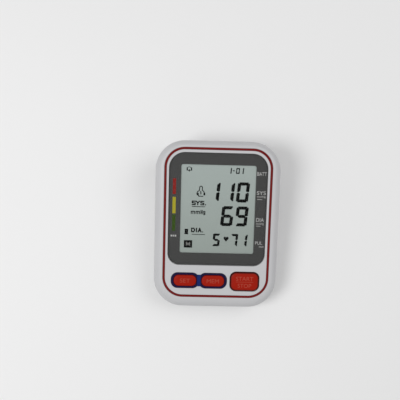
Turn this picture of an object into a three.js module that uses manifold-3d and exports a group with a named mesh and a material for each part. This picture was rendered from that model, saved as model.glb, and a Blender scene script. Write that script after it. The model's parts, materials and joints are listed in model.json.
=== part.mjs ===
// Digital upper-arm blood pressure monitor, with its casing, display, keys, air system and cells.
// Millimetres. X to the right, Y to the back, Z up. The origin is on the table, under the middle.
// The face with the display leans back by FACE_TILT. Pieces that lie along it are drawn in the
// face frame (x across, y up the slope, z out of the face) and stand in one turned group.

import * as THREE from 'three';
import { mergeVertices } from 'three/addons/utils/BufferGeometryUtils.js';
import Module from 'manifold-3d';

const wasm = await Module();
wasm.setup();

// Clearances
const FIT = 0.3; // between two pieces that seat on each other
const THIN_FIT = 0.15; // round an inlaid piece whose edge shows
const CUT = 2; // how far a cutter runs past the face that it opens
const OVERLAP = 1; // how far solids that are joined run into each other
const FLATNESS = 0.0005; // within which neighbouring facets count as one flat face

// Face, with the ring line that runs round it
const FACE_TILT = THREE.MathUtils.degToRad(10);
const FACE_HEIGHT = 39.15; // middle of the ring, above the table
const RING_WIDTH = 93.3;
const RING_LENGTH = 133.1;
const RING_RADIUS = 17;
const RING_LINE = 1.9;
const RING_THICKNESS = 1;
const FACE_LAND = 1.6; // flat face outside the middle of the ring line

// Casing
const WALL = 2.5;
const SHOULDER_WIDTH = 7.7; // from the edge of the flat face out to the side
const SHOULDER_DEPTH = 12;
const SHOULDER_LEAN = 3.2; // how far the whole side stands forward of the ring
const PARTING_DEPTH = 14; // below the face, square to it
const PARTING_GAP = 0.3;
const TONGUE_HEIGHT = 1.6;
const TONGUE_THICKNESS = 1;
const BASE_INSET = 2; // draft of the lower casing's side, in all
const BASE_ROUND = 5;
const BASE_INNER_ROUND = 2.5;

// Feet
const FOOT_RADIUS = 6;
const FOOT_HEIGHT = 2.6;
const FOOT_STAND = 1.5; // how far a foot stands out of the base
const FOOT_SIDE = 25.95; // from the casing's side to the middle of a foot
const FOOT_END = 15.7; // and from its end
const FOOT_EDGE = 0.6;

// Display: window panel, printed mask, liquid crystal glass and its frame
const PANEL_SIDE = 3.45; // from the middle of the ring line to the panel
const PANEL_BACK = 3.85;
const PANEL_FRONT = 28.85;
const PANEL_BACK_RADIUS = 14;
const PANEL_FRONT_RADIUS = 10.5;
const PANEL_THICKNESS = 1.5;
const PANEL_RECESS = 0.15; // below the face
const MASK_THICKNESS = 0.3;
const PANEL_LEDGE = 1.4; // casing left under the panel
const WINDOW_SIDE = 10.85; // from the panel's edge to the window
const WINDOW_BACK = 10.7;
const WINDOW_FRONT = 11.2;
const WINDOW_RADIUS = 1.8;
const GLASS_MARGIN = 2.8; // glass hidden by the mask, on each side
const GLASS_THICKNESS = 1.35; // one of the two panes
const GLASS_RADIUS = 1;
const CONTACT_LEDGE = 3; // lower pane left bare for the contacts
const FRAME_WALL = 2.4;
const FRAME_LIP = 1.5;
const FRAME_LIP_WIDTH = 3.5;
const STRIP_WIDTH = 2;

// Keys
const SMALL_KEY_LENGTH = 10.1;
const SMALL_KEY_RADIUS = 4.6;
const SMALL_KEYS_START = 9.05; // from the middle of the ring line, at the left
const SMALL_KEYS_END = 7.9; // from the middle of the face
const SMALL_KEY_GAP = 4.7;
const SMALL_KEY_FRONT = 14.35; // from the middle of the ring line
const START_KEY_LENGTH = 17.7;
const START_KEY_RADIUS = 5.6;
const START_KEY_START = 13.1; // from the middle of the face
const START_KEY_END = 7.25; // from the middle of the ring line, at the right
const START_KEY_FRONT = 14.2;
const KEY_PROUD = 1.3;
const KEY_EDGE_ROUND = 0.8;
const KEY_CROWN = 0.35;
const KEY_CROWN_INSET = 3.2; // from the key's side to where its top levels out
const KEY_FLANGE = 1;
const KEY_FLANGE_WIDTH = 1.1;
const KEY_TRAVEL = 1;
const SURROUND_BORDER = 2;
const SURROUND_NECK_LENGTH = 10.4;
const SURROUND_PROUD = 0.4;
const SURROUND_THICKNESS = 1.3;

// Rubber mat under the keys
const MAT_THICKNESS = 1.1;
const MAT_SIDE = 10.65; // from the middle of the ring line to the mat
const MAT_LENGTH = 21;
const MAT_RADIUS = 3;
const POST_RADIUS = 3;
const POST_CHAMFER = 0.5;
const SKIRT_WALL = 0.9;
const SKIRT_SPREAD = 1.4;
const SKIRT_LEAST = 0.8; // height of a skirt above its sheet

// Circuit board
const BOARD_THICKNESS = 1.6;
const BOARD_SIDE = 4.65; // from the middle of the ring line to the board
const BOARD_BACK = 6.55;
const BOARD_FRONT = 2.55;
const BOARD_RADIUS = 4;
const CHIP_SIZE = 15;
const CHIP_HEIGHT = 1.6;
const CHIP_LEAD_REACH = 1.2;
const CHIP_LEAD_WIDTH = 0.9;
const CHIP_LEAD_PITCH = 3;
const CHIP_X = -6;
const CHIP_Y = -14;
const BUZZER_RADIUS = 6;
const BUZZER_HEIGHT = 5.5;
const BUZZER_EDGE = 0.6;
const BUZZER_HOLE_RADIUS = 1.2;
const BUZZER_HOLE_DEPTH = 1;
const BUZZER_X = 30;
const BUZZER_AHEAD = 19; // of the pump
const SENSOR_SIZE = 10;
const SENSOR_HEIGHT = 4.2;

// Screws that join the casing, upright, near its corners
const BACK_SCREW_SIDE = 13.95; // from the casing's side
const BACK_SCREW_END = 13.3; // from the end of the base
const FRONT_SCREW_END = 24.7;
const FRONT_SCREW_GAP = 0.85; // between its boss and the flange of the start key
const SCREW_RADIUS = 1.4;
const SCREW_LENGTH = 10;
const SCREW_HEAD_RADIUS = 2.7;
const SCREW_HEAD_HEIGHT = 2;
const SCREW_HEAD_EDGE = 0.7;
const SCREW_TIP_RADIUS = 0.3;
const SCREW_TIP_LENGTH = 1.5;
const SCREW_CROSS_WIDTH = 0.7;
const SCREW_CROSS_LENGTH = 3.2;
const SCREW_CROSS_DEPTH = 0.9;
const BOSS_WALL = 2.1;
const SCREW_SEAT = 2.4; // casing between the head and the joint of the two bosses
const BACK_BOSS_JOINT = 30; // height at which the two bosses meet
const FRONT_BOSS_JOINT = 13;

// Cells and their compartment, four side by side, in the underside
const CELL_RADIUS = 7.25;
const CELL_LENGTH = 49.2;
const CELL_NUB_RADIUS = 2.75;
const CELL_NUB_LENGTH = 1.3;
const CELL_EDGE = 0.8;
const CELL_COUNT = 4;
const CELL_PITCH = 15.2;
const CELL_PLAY = 0.35; // round each cell
const SPRING_ROOM = 4; // between a cell's end and the wall behind it
const TUB_WALL = 2;
const TUB_TO_PUMP = 0.65; // between the rooms of the door's hooks and the pump

// Door over the cells, hooked at the back and latched at the front
const DOOR_THICKNESS = 2;
const DOOR_RADIUS = 1;
const DOOR_MARGIN = 2; // past the inside of the compartment, at each side
const DOOR_PAD = 2; // casing behind the door's edge
const HOOK_WIDTH = 8;
const HOOK_X = 18;
const HOOK_THICKNESS = 1.5;
const HOOK_GAP = 0.4;
const HOOK_LEDGE = 1.5; // casing left under each hook
const HOOK_ROOT = THREE.MathUtils.degToRad(170); // where the hook has run into the door
const LATCH_WIDTH = 12;
const LATCH_HEIGHT = 7;
const LATCH_LEG = 1.4;
const LATCH_SPAN = 5.4;
const LATCH_NUB = 0.8;
const LATCH_NUB_TOP = 3.15; // above the door's outer face
const LATCH_NUB_PEAK = 2.8;
const LATCH_NUB_BOTTOM = 1.75;
const LATCH_GAP = 1.1; // the latch swings forward a little as the door opens
const LATCH_SIDE_GAP = 0.6;
const SCOOP_DEPTH = 1.2; // thumb recess in front of the latch
const SCOOP_RADIUS = 12;
const GRIP_COUNT = 5;
const GRIP_PITCH = 2;
const GRIP_START = 4; // behind the latch
const GRIP_DEPTH = 0.5;

// Contact plates and springs of the cells
const PLATE_THICKNESS = 0.5;
const PLATE_WIDTH = 10;
const PLATE_HEIGHT = 10;
const SPRING_WIRE = 0.45; // radius
const SPRING_WIDE = 4;
const SPRING_NARROW = 2.4;
const SPRING_TURNS = 3;

// Air system: cuff socket, manifold, pump, release valve and hoses, all at the pump's height
const AIR_END = 29.7; // from the back of the base to the pump's axis
const SOCKET_FLANGE_RADIUS = 6.5;
const SOCKET_FLANGE = 1.6;
const SOCKET_PROUD = 0.3; // past the widest part of the casing
const SOCKET_BODY_RADIUS = 5.2;
const SOCKET_BORE_RADIUS = 3.8;
const SOCKET_DEPTH = 9.5;
const SOCKET_LENGTH = 10.8;
const SOCKET_EDGE = 0.4;
const SOCKET_THROAT = 1; // depth of the cone at the bottom of the bore
const BARB_RADIUS = 1.6;
const BARB_BORE_RADIUS = 0.8;
const BARB_LENGTH = 4;
const BARB_GAP = 0.7; // between the tips of two barbs in one hose
const HOSE_RADIUS = 3.1;
const HOSE_BORE_RADIUS = 2.1;
const MANIFOLD_RADIUS = 3.2;
const PUMP_HEAD_SIZE = 24;
const PUMP_HEAD_LENGTH = 26;
const PUMP_HEAD_ROUND = 3;
const PUMP_SEAM = 0.6; // width and depth of the joints between the head's plates
const PUMP_SEAM_PLACES = [8.7, 14.3]; // from the face with the outlet
const CRANK_ROOM_RADIUS = 8.5;
const CRANK_ROOM_LENGTH = 12;
const MOTOR_RADIUS = 12;
const MOTOR_LENGTH = 28;
const MOTOR_EDGE = 1;
const MOTOR_BOSS_RADIUS = 3.5;
const MOTOR_BOSS_LENGTH = 1.5;
const SHAFT_RADIUS = 1;
const SHAFT_PLAY = 0.3;
const CRANK_RADIUS = 4;
const CRANK_THROW = 1.6;
const CRANK_LENGTH = 6;
const CRANK_GAP = 1.3; // between the crank and the motor
const SHAFT_END = 1; // past the motor's rear boss
const SLEEVE_THICKNESS = 1.4;
const SLEEVE_LENGTH = 18;
const CRADLE_THICKNESS = 2;
const CRADLE_SPACING = 12;
const CRADLE_HEIGHT = 9;
const VALVE_WIDTH = 11;
const VALVE_DEPTH = 10;
const VALVE_END = 8.3; // from the back of the base
const VALVE_ROOF = 1; // of the base block, over the air nipple
const VALVE_SEAT_DEPTH = 1; // of the plunger's bore, below the air nipple's axis
const YOKE_THICKNESS = 1.4;
const COIL_RADIUS = 4;
const COIL_RIM = 0.6; // thickness of the bobbin's rims
const COIL_RIM_REACH = 0.4; // past the winding
const YOKE_HEIGHT = 23.6; // of the valve, from its foot to the top of its yoke
const PLUNGER_RADIUS = 1.6;
const PLUNGER_TRAVEL = 1.5;
const PLUNGER_HEAD_RADIUS = 2.6;
const PLUNGER_HEAD_HEIGHT = 1.2;

// Socket for the mains adapter, at the right
const JACK_Y = 20;
const JACK_SIZE = 10.5;
const JACK_LENGTH = 12;
const JACK_NOSE_RADIUS = 4.6;
const JACK_BORE_RADIUS = 3.2;
const JACK_DEPTH = 10;
const JACK_PIN_RADIUS = 1;
const JACK_PIN_SINK = 1; // below the mouth of the bore
const JACK_SINK = 0.6; // below the casing's side

// Fineness of the round shapes
const CORNER_STEPS = 7;
const KEY_CORNER_STEPS = 5;
const SMALL_CORNER_STEPS = 3;
const SHOULDER_STEPS = 6;
const INNER_SHOULDER_STEPS = 3;
const BASE_STEPS = 3;
const INNER_BASE_STEPS = 1;
const EDGE_STEPS = 3;
const ROUND_STEPS = 16;
const SMALL_ROUND_STEPS = 8;
const HOSE_SIDES = 8;
const WIRE_SIDES = 4;
const SPRING_STEPS = 7; // for each turn
const SENSOR_HOSE_STEPS = 5;

// Places that follow from the sizes above
const FACE_Y = SHOULDER_LEAN * Math.cos(FACE_TILT) - PARTING_DEPTH * Math.sin(FACE_TILT);
const SIDE_OFFSET = FACE_LAND + SHOULDER_WIDTH; // from the ring line to the casing's side
const SIDE_X = RING_WIDTH / 2 + SIDE_OFFSET;
const BASE_HALF_LENGTH = (RING_LENGTH / 2 + SIDE_OFFSET) * Math.cos(FACE_TILT);
const FLOOR_TOP = FOOT_STAND + WALL;
const FOOT_X = SIDE_X - FOOT_SIDE;
const FOOT_Y = BASE_HALF_LENGTH - FOOT_END;

const PANEL_WIDTH = RING_WIDTH - 2 * PANEL_SIDE;
const PANEL_LENGTH = RING_LENGTH - PANEL_BACK - PANEL_FRONT;
const PANEL_Y = (PANEL_FRONT - PANEL_BACK) / 2;
const WINDOW_WIDTH = PANEL_WIDTH - 2 * WINDOW_SIDE;
const WINDOW_LENGTH = PANEL_LENGTH - WINDOW_BACK - WINDOW_FRONT;
const WINDOW_Y = PANEL_Y + (WINDOW_FRONT - WINDOW_BACK) / 2;
const SMALL_KEY_WIDTH = (RING_WIDTH / 2 - SMALL_KEYS_START + SMALL_KEYS_END - SMALL_KEY_GAP) / 2;
const SET_KEY_X = SMALL_KEYS_START - (RING_WIDTH - SMALL_KEY_WIDTH) / 2;
const MEM_KEY_X = SMALL_KEYS_END - SMALL_KEY_WIDTH / 2;
const SMALL_KEY_Y = SMALL_KEY_FRONT - RING_LENGTH / 2;
const START_KEY_WIDTH = RING_WIDTH / 2 - START_KEY_START - START_KEY_END;
const START_KEY_X = START_KEY_START + START_KEY_WIDTH / 2;
const START_KEY_Y = START_KEY_FRONT - RING_LENGTH / 2;
const MAT_WIDTH = RING_WIDTH - 2 * MAT_SIDE;
const BOARD_WIDTH = RING_WIDTH - 2 * BOARD_SIDE;
const BOARD_LENGTH = RING_LENGTH - BOARD_BACK - BOARD_FRONT;
const BOARD_Y = (BOARD_FRONT - BOARD_BACK) / 2;

const PANEL_TOP = -PANEL_RECESS;
const PANEL_BOTTOM = PANEL_TOP - PANEL_THICKNESS;
const MASK_TOP = PANEL_BOTTOM - FIT;
const MASK_BOTTOM = MASK_TOP - MASK_THICKNESS;
const POCKET_FLOOR = MASK_BOTTOM - FIT;
const LEDGE_BOTTOM = POCKET_FLOOR - PANEL_LEDGE;
const GLASS_TOP = MASK_BOTTOM - FIT;
const GLASS_BOTTOM = GLASS_TOP - 2 * GLASS_THICKNESS;
const GLASS_WIDTH = WINDOW_WIDTH + 2 * GLASS_MARGIN;
const GLASS_LENGTH = WINDOW_LENGTH + 2 * GLASS_MARGIN + CONTACT_LEDGE;
const GLASS_Y = WINDOW_Y - CONTACT_LEDGE / 2;
const FRAME_TOP = LEDGE_BOTTOM - FIT;
const LIP_TOP = Math.min(GLASS_BOTTOM, FRAME_TOP) - FIT;

const FLANGE_TOP = -WALL - FIT;
const FLANGE_BOTTOM = FLANGE_TOP - KEY_FLANGE;
const SKIRT_TOP = FLANGE_BOTTOM - KEY_TRAVEL - FIT;
const MAT_STACK = MAT_THICKNESS + FIT + SKIRT_LEAST;
const BOARD_TOP = Math.min(LIP_TOP - FRAME_LIP - FIT, SKIRT_TOP - MAT_STACK);
const BOARD_BOTTOM = BOARD_TOP - BOARD_THICKNESS;
const FRAME_BOTTOM = BOARD_TOP + FIT;
const MAT_BOTTOM = BOARD_TOP + FIT;
const MAT_TOP = MAT_BOTTOM + MAT_THICKNESS;
const POST_TOP = FLANGE_BOTTOM - FIT;
const POST_BOTTOM = BOARD_TOP + KEY_TRAVEL + FIT;

const SURROUND_TOP = SURROUND_PROUD;
const SURROUND_BOTTOM = SURROUND_TOP - SURROUND_THICKNESS;
const SURROUND_FLOOR = SURROUND_BOTTOM - FIT;

const DOOR_TOP = FOOT_STAND + DOOR_THICKNESS;
const DOOR_SEAT = DOOR_TOP + FIT;
const CELL_HEIGHT = DOOR_SEAT + CELL_PLAY + CELL_RADIUS;
const TUB_BORE = CELL_RADIUS + CELL_PLAY;
const TUB_HALF_LENGTH = (CELL_LENGTH + CELL_NUB_LENGTH) / 2 + SPRING_ROOM;
const TUB_HALF_WIDTH = ((CELL_COUNT - 1) * CELL_PITCH) / 2 + TUB_BORE;
const HOOK_INNER = WALL + HOOK_GAP;
const HOOK_OUTER = HOOK_INNER + HOOK_THICKNESS;

const SLEEVE_RADIUS = MOTOR_RADIUS + FIT + SLEEVE_THICKNESS;
const AIR_HEIGHT = FLOOR_TOP + FIT + SLEEVE_RADIUS;
const AIR_Y = BASE_HALF_LENGTH - AIR_END;
const SOCKET_SEAT = -(SIDE_X + SOCKET_PROUD - SOCKET_FLANGE);
const SOCKET_BACK = SOCKET_SEAT + SOCKET_LENGTH;
const MANIFOLD_REACH = MANIFOLD_RADIUS + BARB_LENGTH; // from its middle to the tip of a barb
const MANIFOLD_X = SOCKET_BACK + BARB_LENGTH + BARB_GAP + MANIFOLD_REACH;
const PUMP_HEAD_END = MANIFOLD_X + MANIFOLD_REACH + BARB_GAP + BARB_LENGTH; // face with the outlet
const MOTOR_START = PUMP_HEAD_END + PUMP_HEAD_LENGTH + FIT;
const VALVE_BACK = BASE_HALF_LENGTH - VALVE_END;
const BUZZER_Y = AIR_Y - BUZZER_AHEAD;
const JACK_FACE = SIDE_X - BASE_INSET / 2 - JACK_SINK;

const DOOR_BACK = AIR_Y - SLEEVE_RADIUS - TUB_TO_PUMP - HOOK_OUTER + FIT / 2;
const DOOR_FRONT = DOOR_BACK - 2 * (TUB_HALF_WIDTH + TUB_WALL);
const DOOR_HALF_LENGTH = TUB_HALF_LENGTH + DOOR_MARGIN;
const CELL_Y = (DOOR_BACK + DOOR_FRONT) / 2; // middle of the compartment
const HINGE_Y = DOOR_BACK - FIT / 2;
const HOOK_END = Math.asin((HOOK_LEDGE + FIT) / HOOK_INNER);
const LATCH_FRONT = DOOR_FRONT - LATCH_SPAN + DOOR_MARGIN;

// Materials, with colours as the photograph shows them under even light
const plastic = (color, roughness) => new THREE.MeshStandardMaterial({ color, roughness, metalness: 0 });
const metal = (color, roughness) => new THREE.MeshStandardMaterial({ color, roughness, metalness: 1 });
const whitePlastic = plastic(0xe6e7ea, 0.45);
const redTrim = plastic(0x8c1712, 0.35);
const clearPanel = new THREE.MeshStandardMaterial({
  color: 0xdfe3e2, roughness: 0.05, metalness: 0, transparent: true, opacity: 0.2,
});
const maskPrint = plastic(0x474745, 0.4);
const displayGlass = plastic(0x97a39c, 0.15);
const blackPlastic = plastic(0x232426, 0.5);
const redKey = plastic(0xb3220f, 0.4);
const blueTrim = plastic(0x1a2270, 0.35);
const greyRubber = plastic(0x8d8f92, 0.85);
const darkRubber = plastic(0x2a2b2d, 0.9);
const greenBoard = plastic(0x1f5a34, 0.5);
const steel = metal(0xb9bcc0, 0.35);
const nickel = metal(0xc9cbcc, 0.25);
const cellSleeve = plastic(0x2f4f7d, 0.35);
const clearHose = plastic(0xd9dcdc, 0.4);
const foam = plastic(0x3a3b3e, 0.95);
const winding = plastic(0xa0522a, 0.4);

// Turns a geometry so that its faces point out, whichever way its outline ran.
function facingOut(geometry) {
  const position = geometry.attributes.position;
  const index = geometry.index;
  const [a, b, c] = [new THREE.Vector3(), new THREE.Vector3(), new THREE.Vector3()];
  let volume = 0;
  for (let i = 0; i < index.count; i += 3) {
    a.fromBufferAttribute(position, index.getX(i));
    b.fromBufferAttribute(position, index.getX(i + 1));
    c.fromBufferAttribute(position, index.getX(i + 2));
    volume += a.dot(b.cross(c));
  }
  if (volume < 0) {
    for (let i = 0; i < index.count; i += 3) {
      const first = index.getX(i);
      index.setX(i, index.getX(i + 1));
      index.setX(i + 1, first);
    }
  }
  return geometry;
}

// A geometry with its shared corners merged, as booleans and closed bodies need it.
function closed(geometry) {
  const bare = geometry.clone();
  bare.deleteAttribute('normal');
  bare.deleteAttribute('uv');
  return facingOut(mergeVertices(bare, 1e-4));
}

function toSolid(geometry) {
  const merged = closed(geometry);
  return new wasm.Manifold(new wasm.Mesh({
    numProp: 3,
    vertProperties: new Float32Array(merged.attributes.position.array),
    triVerts: new Uint32Array(merged.index.array),
  }));
}

// Flat faces that a boolean has cut into strips come back as few triangles as they need.
function toGeometry(solid) {
  const mesh = solid.asOriginal().simplify(FLATNESS).getMesh();
  const geometry = new THREE.BufferGeometry();
  geometry.setAttribute('position', new THREE.BufferAttribute(mesh.vertProperties, 3));
  geometry.setIndex(new THREE.BufferAttribute(mesh.triVerts, 1));
  geometry.computeVertexNormals();
  return geometry;
}

const joined = (first, ...others) => toGeometry(
  others.reduce((whole, other) => whole.add(toSolid(other)), toSolid(first)));
const cutBy = (first, ...others) => toGeometry(
  others.reduce((whole, other) => whole.subtract(toSolid(other)), toSolid(first)));
const common = (first, second) => toGeometry(toSolid(first).intersect(toSolid(second)));

// Points of a rounded rectangle, anticlockwise from its right side, the same number at each corner.
function roundedOutline({
  width, length, radius, frontRadius = radius, x = 0, y = 0, steps = CORNER_STEPS,
}) {
  const corners = [
    { sideX: 1, sideY: 1, r: radius },
    { sideX: -1, sideY: 1, r: radius },
    { sideX: -1, sideY: -1, r: frontRadius },
    { sideX: 1, sideY: -1, r: frontRadius },
  ];
  return corners.flatMap(({ sideX, sideY, r }, corner) => {
    const centreX = x + sideX * (width / 2 - r);
    const centreY = y + sideY * (length / 2 - r);
    return Array.from({ length: steps + 1 }, (_, step) => {
      const angle = (corner + step / steps) * Math.PI / 2;
      return new THREE.Vector2(centreX + r * Math.cos(angle), centreY + r * Math.sin(angle));
    });
  });
}

// The ring line's outline, moved out (or in, below zero) by an offset.
const ringOutline = (offset) => roundedOutline({
  width: RING_WIDTH + 2 * offset,
  length: RING_LENGTH + 2 * offset,
  radius: RING_RADIUS + offset,
});

const polygon = (radius, sides) => Array.from({ length: sides }, (_, side) => {
  const angle = side / sides * 2 * Math.PI;
  return new THREE.Vector2(radius * Math.cos(angle), radius * Math.sin(angle));
});

const lifted = (outline, height) => outline.map((point) => new THREE.Vector3(point.x, point.y, height));

// A closed body through level outlines, from the lowest to the highest, with a middle point at each end.
function loft(sections, crown = 0) {
  const count = sections[0].length;
  const positions = sections.flat().flatMap((point) => point.toArray());
  const faces = [];
  for (let row = 0; row < sections.length - 1; row++) {
    for (let i = 0; i < count; i++) {
      const low = row * count + i;
      const next = row * count + (i + 1) % count;
      faces.push(low, next, next + count, low, next + count, low + count);
    }
  }
  const middleOf = (section) => section
    .reduce((sum, point) => sum.add(point), new THREE.Vector3())
    .divideScalar(count);
  const bottom = positions.length / 3;
  positions.push(...middleOf(sections[0]).toArray());
  const top = bottom + 1;
  positions.push(...middleOf(sections.at(-1)).add(new THREE.Vector3(0, 0, crown)).toArray());
  const lastRow = (sections.length - 1) * count;
  for (let i = 0; i < count; i++) {
    const next = (i + 1) % count;
    faces.push(bottom, next, i, top, lastRow + i, lastRow + next);
  }
  const geometry = new THREE.BufferGeometry();
  geometry.setAttribute('position', new THREE.Float32BufferAttribute(positions, 3));
  geometry.setIndex(faces);
  return geometry;
}

const slab = (outline, bottom, top) => loft([lifted(outline, bottom), lifted(outline, top)]);

function block({ x, y, z }) {
  const geometry = new THREE.BoxGeometry(x[1] - x[0], y[1] - y[0], z[1] - z[0]);
  return geometry.translate((x[0] + x[1]) / 2, (y[0] + y[1]) / 2, (z[0] + z[1]) / 2);
}

// A span centred on a place, for block().
const about = (middle, size) => [middle - size / 2, middle + size / 2];

// Upright rod from one height to another.
function rod(radius, bottom, top, steps = ROUND_STEPS) {
  const geometry = new THREE.CylinderGeometry(radius, radius, top - bottom, steps);
  return geometry.rotateX(Math.PI / 2).translate(0, 0, (bottom + top) / 2);
}

// Upright body turned from a profile of [radius, height] pairs.
function turned(profile, steps = ROUND_STEPS) {
  const points = profile.map(([radius, height]) => new THREE.Vector2(radius, height));
  return new THREE.LatheGeometry(points, steps).rotateX(Math.PI / 2);
}

// Lays an upright body along +X, at the height and depth of the air system.
const alongAir = (geometry, y = AIR_Y) => geometry.rotateY(Math.PI / 2).translate(0, y, AIR_HEIGHT);

const faceMatrix = new THREE.Matrix4().makeRotationX(FACE_TILT).setPosition(0, FACE_Y, FACE_HEIGHT);
const faceMatrixBack = faceMatrix.clone().invert();
const toFace = (geometry) => geometry.applyMatrix4(faceMatrixBack);
const toTable = (geometry) => geometry.applyMatrix4(faceMatrix);
const pointToTable = (x, y, z) => new THREE.Vector3(x, y, z).applyMatrix4(faceMatrix);

const signs = [
  { name: 'back_left', x: -1, y: 1 },
  { name: 'back_right', x: 1, y: 1 },
  { name: 'front_left', x: -1, y: -1 },
  { name: 'front_right', x: 1, y: -1 },
];

const keys = [
  {
    name: 'set', x: SET_KEY_X, y: SMALL_KEY_Y,
    width: SMALL_KEY_WIDTH, length: SMALL_KEY_LENGTH, radius: SMALL_KEY_RADIUS,
  },
  {
    name: 'mem', x: MEM_KEY_X, y: SMALL_KEY_Y,
    width: SMALL_KEY_WIDTH, length: SMALL_KEY_LENGTH, radius: SMALL_KEY_RADIUS,
  },
  {
    name: 'start_stop', x: START_KEY_X, y: START_KEY_Y,
    width: START_KEY_WIDTH, length: START_KEY_LENGTH, radius: START_KEY_RADIUS,
  },
];

const keyOutline = (key, offset) => roundedOutline({
  x: key.x,
  y: key.y,
  width: key.width + 2 * offset,
  length: key.length + 2 * offset,
  radius: key.radius + offset,
  steps: KEY_CORNER_STEPS,
});

const panelOutline = (offset) => roundedOutline({
  y: PANEL_Y,
  width: PANEL_WIDTH + 2 * offset,
  length: PANEL_LENGTH + 2 * offset,
  radius: PANEL_BACK_RADIUS + offset,
  frontRadius: PANEL_FRONT_RADIUS + offset,
});

const glassOutline = (offset) => roundedOutline({
  y: GLASS_Y,
  width: GLASS_WIDTH + 2 * offset,
  length: GLASS_LENGTH + 2 * offset,
  radius: Math.max(offset, 0) + GLASS_RADIUS,
  steps: SMALL_CORNER_STEPS,
});

// The surround is two lobes, one round each small key, and the neck between them.
function surroundBody(offset, bottom, top) {
  const border = SURROUND_BORDER + offset;
  const lobes = keys.slice(0, 2).map((key) => slab(keyOutline(key, border), bottom, top));
  const neck = block({
    x: [SET_KEY_X, MEM_KEY_X],
    y: about(SMALL_KEY_Y, SURROUND_NECK_LENGTH + 2 * offset),
    z: [bottom, top],
  });
  return joined(...lobes, neck);
}

// Height of each screw's boss joint, and the boss shapes that follow from it.
const bossJoint = (sign) => (sign.y > 0 ? BACK_BOSS_JOINT : FRONT_BOSS_JOINT);
const upperBossRadius = SCREW_RADIUS + FIT / 2 + BOSS_WALL;
const lowerBossRadius = SCREW_HEAD_RADIUS + FIT + BOSS_WALL / 2;
const startFlangeEnd = START_KEY_X + START_KEY_WIDTH / 2 + KEY_FLANGE_WIDTH;
const backScrew = new THREE.Vector2(SIDE_X - BACK_SCREW_SIDE, BASE_HALF_LENGTH - BACK_SCREW_END);
const frontScrew = new THREE.Vector2(
  startFlangeEnd + FRONT_SCREW_GAP + upperBossRadius, FRONT_SCREW_END - BASE_HALF_LENGTH);
const atScrew = (geometry, sign) => (sign.y > 0
  ? geometry.translate(sign.x * backScrew.x, backScrew.y, 0)
  : geometry.translate(sign.x * frontScrew.x, frontScrew.y, 0));
const screwSeat = (sign) => bossJoint(sign) - FIT / 2 - SCREW_SEAT;

// The casing's outline where the shoulder has turned by an angle, moved in by an inset.
const shoulderOutline = (angle, inset) => ringOutline(FACE_LAND + SHOULDER_WIDTH * Math.sin(angle) - inset)
  .map((point) => new THREE.Vector2(point.x, point.y - SHOULDER_LEAN * Math.sin(angle)));
const sideOutline = (inset) => shoulderOutline(Math.PI / 2, inset);

function shoulderSections(wall, steps = INNER_SHOULDER_STEPS) {
  const depth = SHOULDER_DEPTH - wall;
  const sections = [];
  for (let step = steps; step >= 0; step--) {
    const angle = step / steps * Math.PI / 2;
    const height = -wall - depth * (1 - Math.cos(angle));
    sections.push(lifted(shoulderOutline(angle, wall), height));
  }
  return sections;
}

// Upper casing

function makeTopCover() {
  const side = sideOutline(0);
  const outer = loft([lifted(side, -PARTING_DEPTH), ...shoulderSections(0, SHOULDER_STEPS)]);
  const inner = loft([lifted(sideOutline(WALL), -PARTING_DEPTH - CUT), ...shoulderSections(WALL)]);
  const shell = cutBy(outer, inner);

  const bosses = signs.map((sign) => {
    const boss = rod(upperBossRadius, bossJoint(sign) + FIT / 2, FACE_HEIGHT * 2, SMALL_ROUND_STEPS);
    return toFace(atScrew(boss, sign));
  });
  const room = loft([lifted(side, -FACE_HEIGHT), ...shoulderSections(WALL / 2)]);
  const trimmedBosses = bosses.map((boss) => common(boss, room));
  const panelPad = slab(panelOutline(WALL), LEDGE_BOTTOM, -WALL / 2);

  const tongueRoom = slab(
    sideOutline(WALL - TONGUE_THICKNESS - FIT),
    -PARTING_DEPTH - CUT,
    -PARTING_DEPTH + TONGUE_HEIGHT,
  );
  const ringGroove = cutBy(
    slab(ringOutline(RING_LINE / 2 + THIN_FIT), -RING_THICKNESS - FIT, CUT),
    slab(ringOutline(-RING_LINE / 2 - THIN_FIT), -RING_THICKNESS - FIT - CUT, 2 * CUT),
  );
  const panelPocket = slab(panelOutline(THIN_FIT), POCKET_FLOOR, CUT);
  const glassOpening = slab(glassOutline(FIT), LEDGE_BOTTOM - CUT, CUT);
  const keyHoles = keys.map((key) => slab(keyOutline(key, FIT), -WALL - CUT, CUT));
  const surroundPocket = surroundBody(THIN_FIT, SURROUND_FLOOR, CUT);
  const pilotHoles = signs.map((sign) => {
    const top = screwSeat(sign) + SCREW_LENGTH + FIT;
    return toFace(atScrew(rod(SCREW_RADIUS + FIT / 2, 0, top, SMALL_ROUND_STEPS), sign));
  });

  const body = joined(cutBy(shell, tongueRoom), panelPad, ...trimmedBosses);
  return cutBy(body, ringGroove, panelPocket, glassOpening, surroundPocket, ...keyHoles, ...pilotHoles);
}

function makeTrimRing() {
  return cutBy(
    slab(ringOutline(RING_LINE / 2), -RING_THICKNESS, 0),
    slab(ringOutline(-RING_LINE / 2), -RING_THICKNESS - CUT, CUT),
  );
}

// Display

const windowOutline = (offset) => roundedOutline({
  y: WINDOW_Y,
  width: WINDOW_WIDTH + 2 * offset,
  length: WINDOW_LENGTH + 2 * offset,
  radius: WINDOW_RADIUS,
  steps: SMALL_CORNER_STEPS,
});

const makePanel = () => slab(panelOutline(0), PANEL_BOTTOM, PANEL_TOP);

const makeMask = () => cutBy(
  slab(panelOutline(0), MASK_BOTTOM, MASK_TOP),
  slab(windowOutline(0), MASK_BOTTOM - CUT, MASK_TOP + CUT),
);

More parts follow.
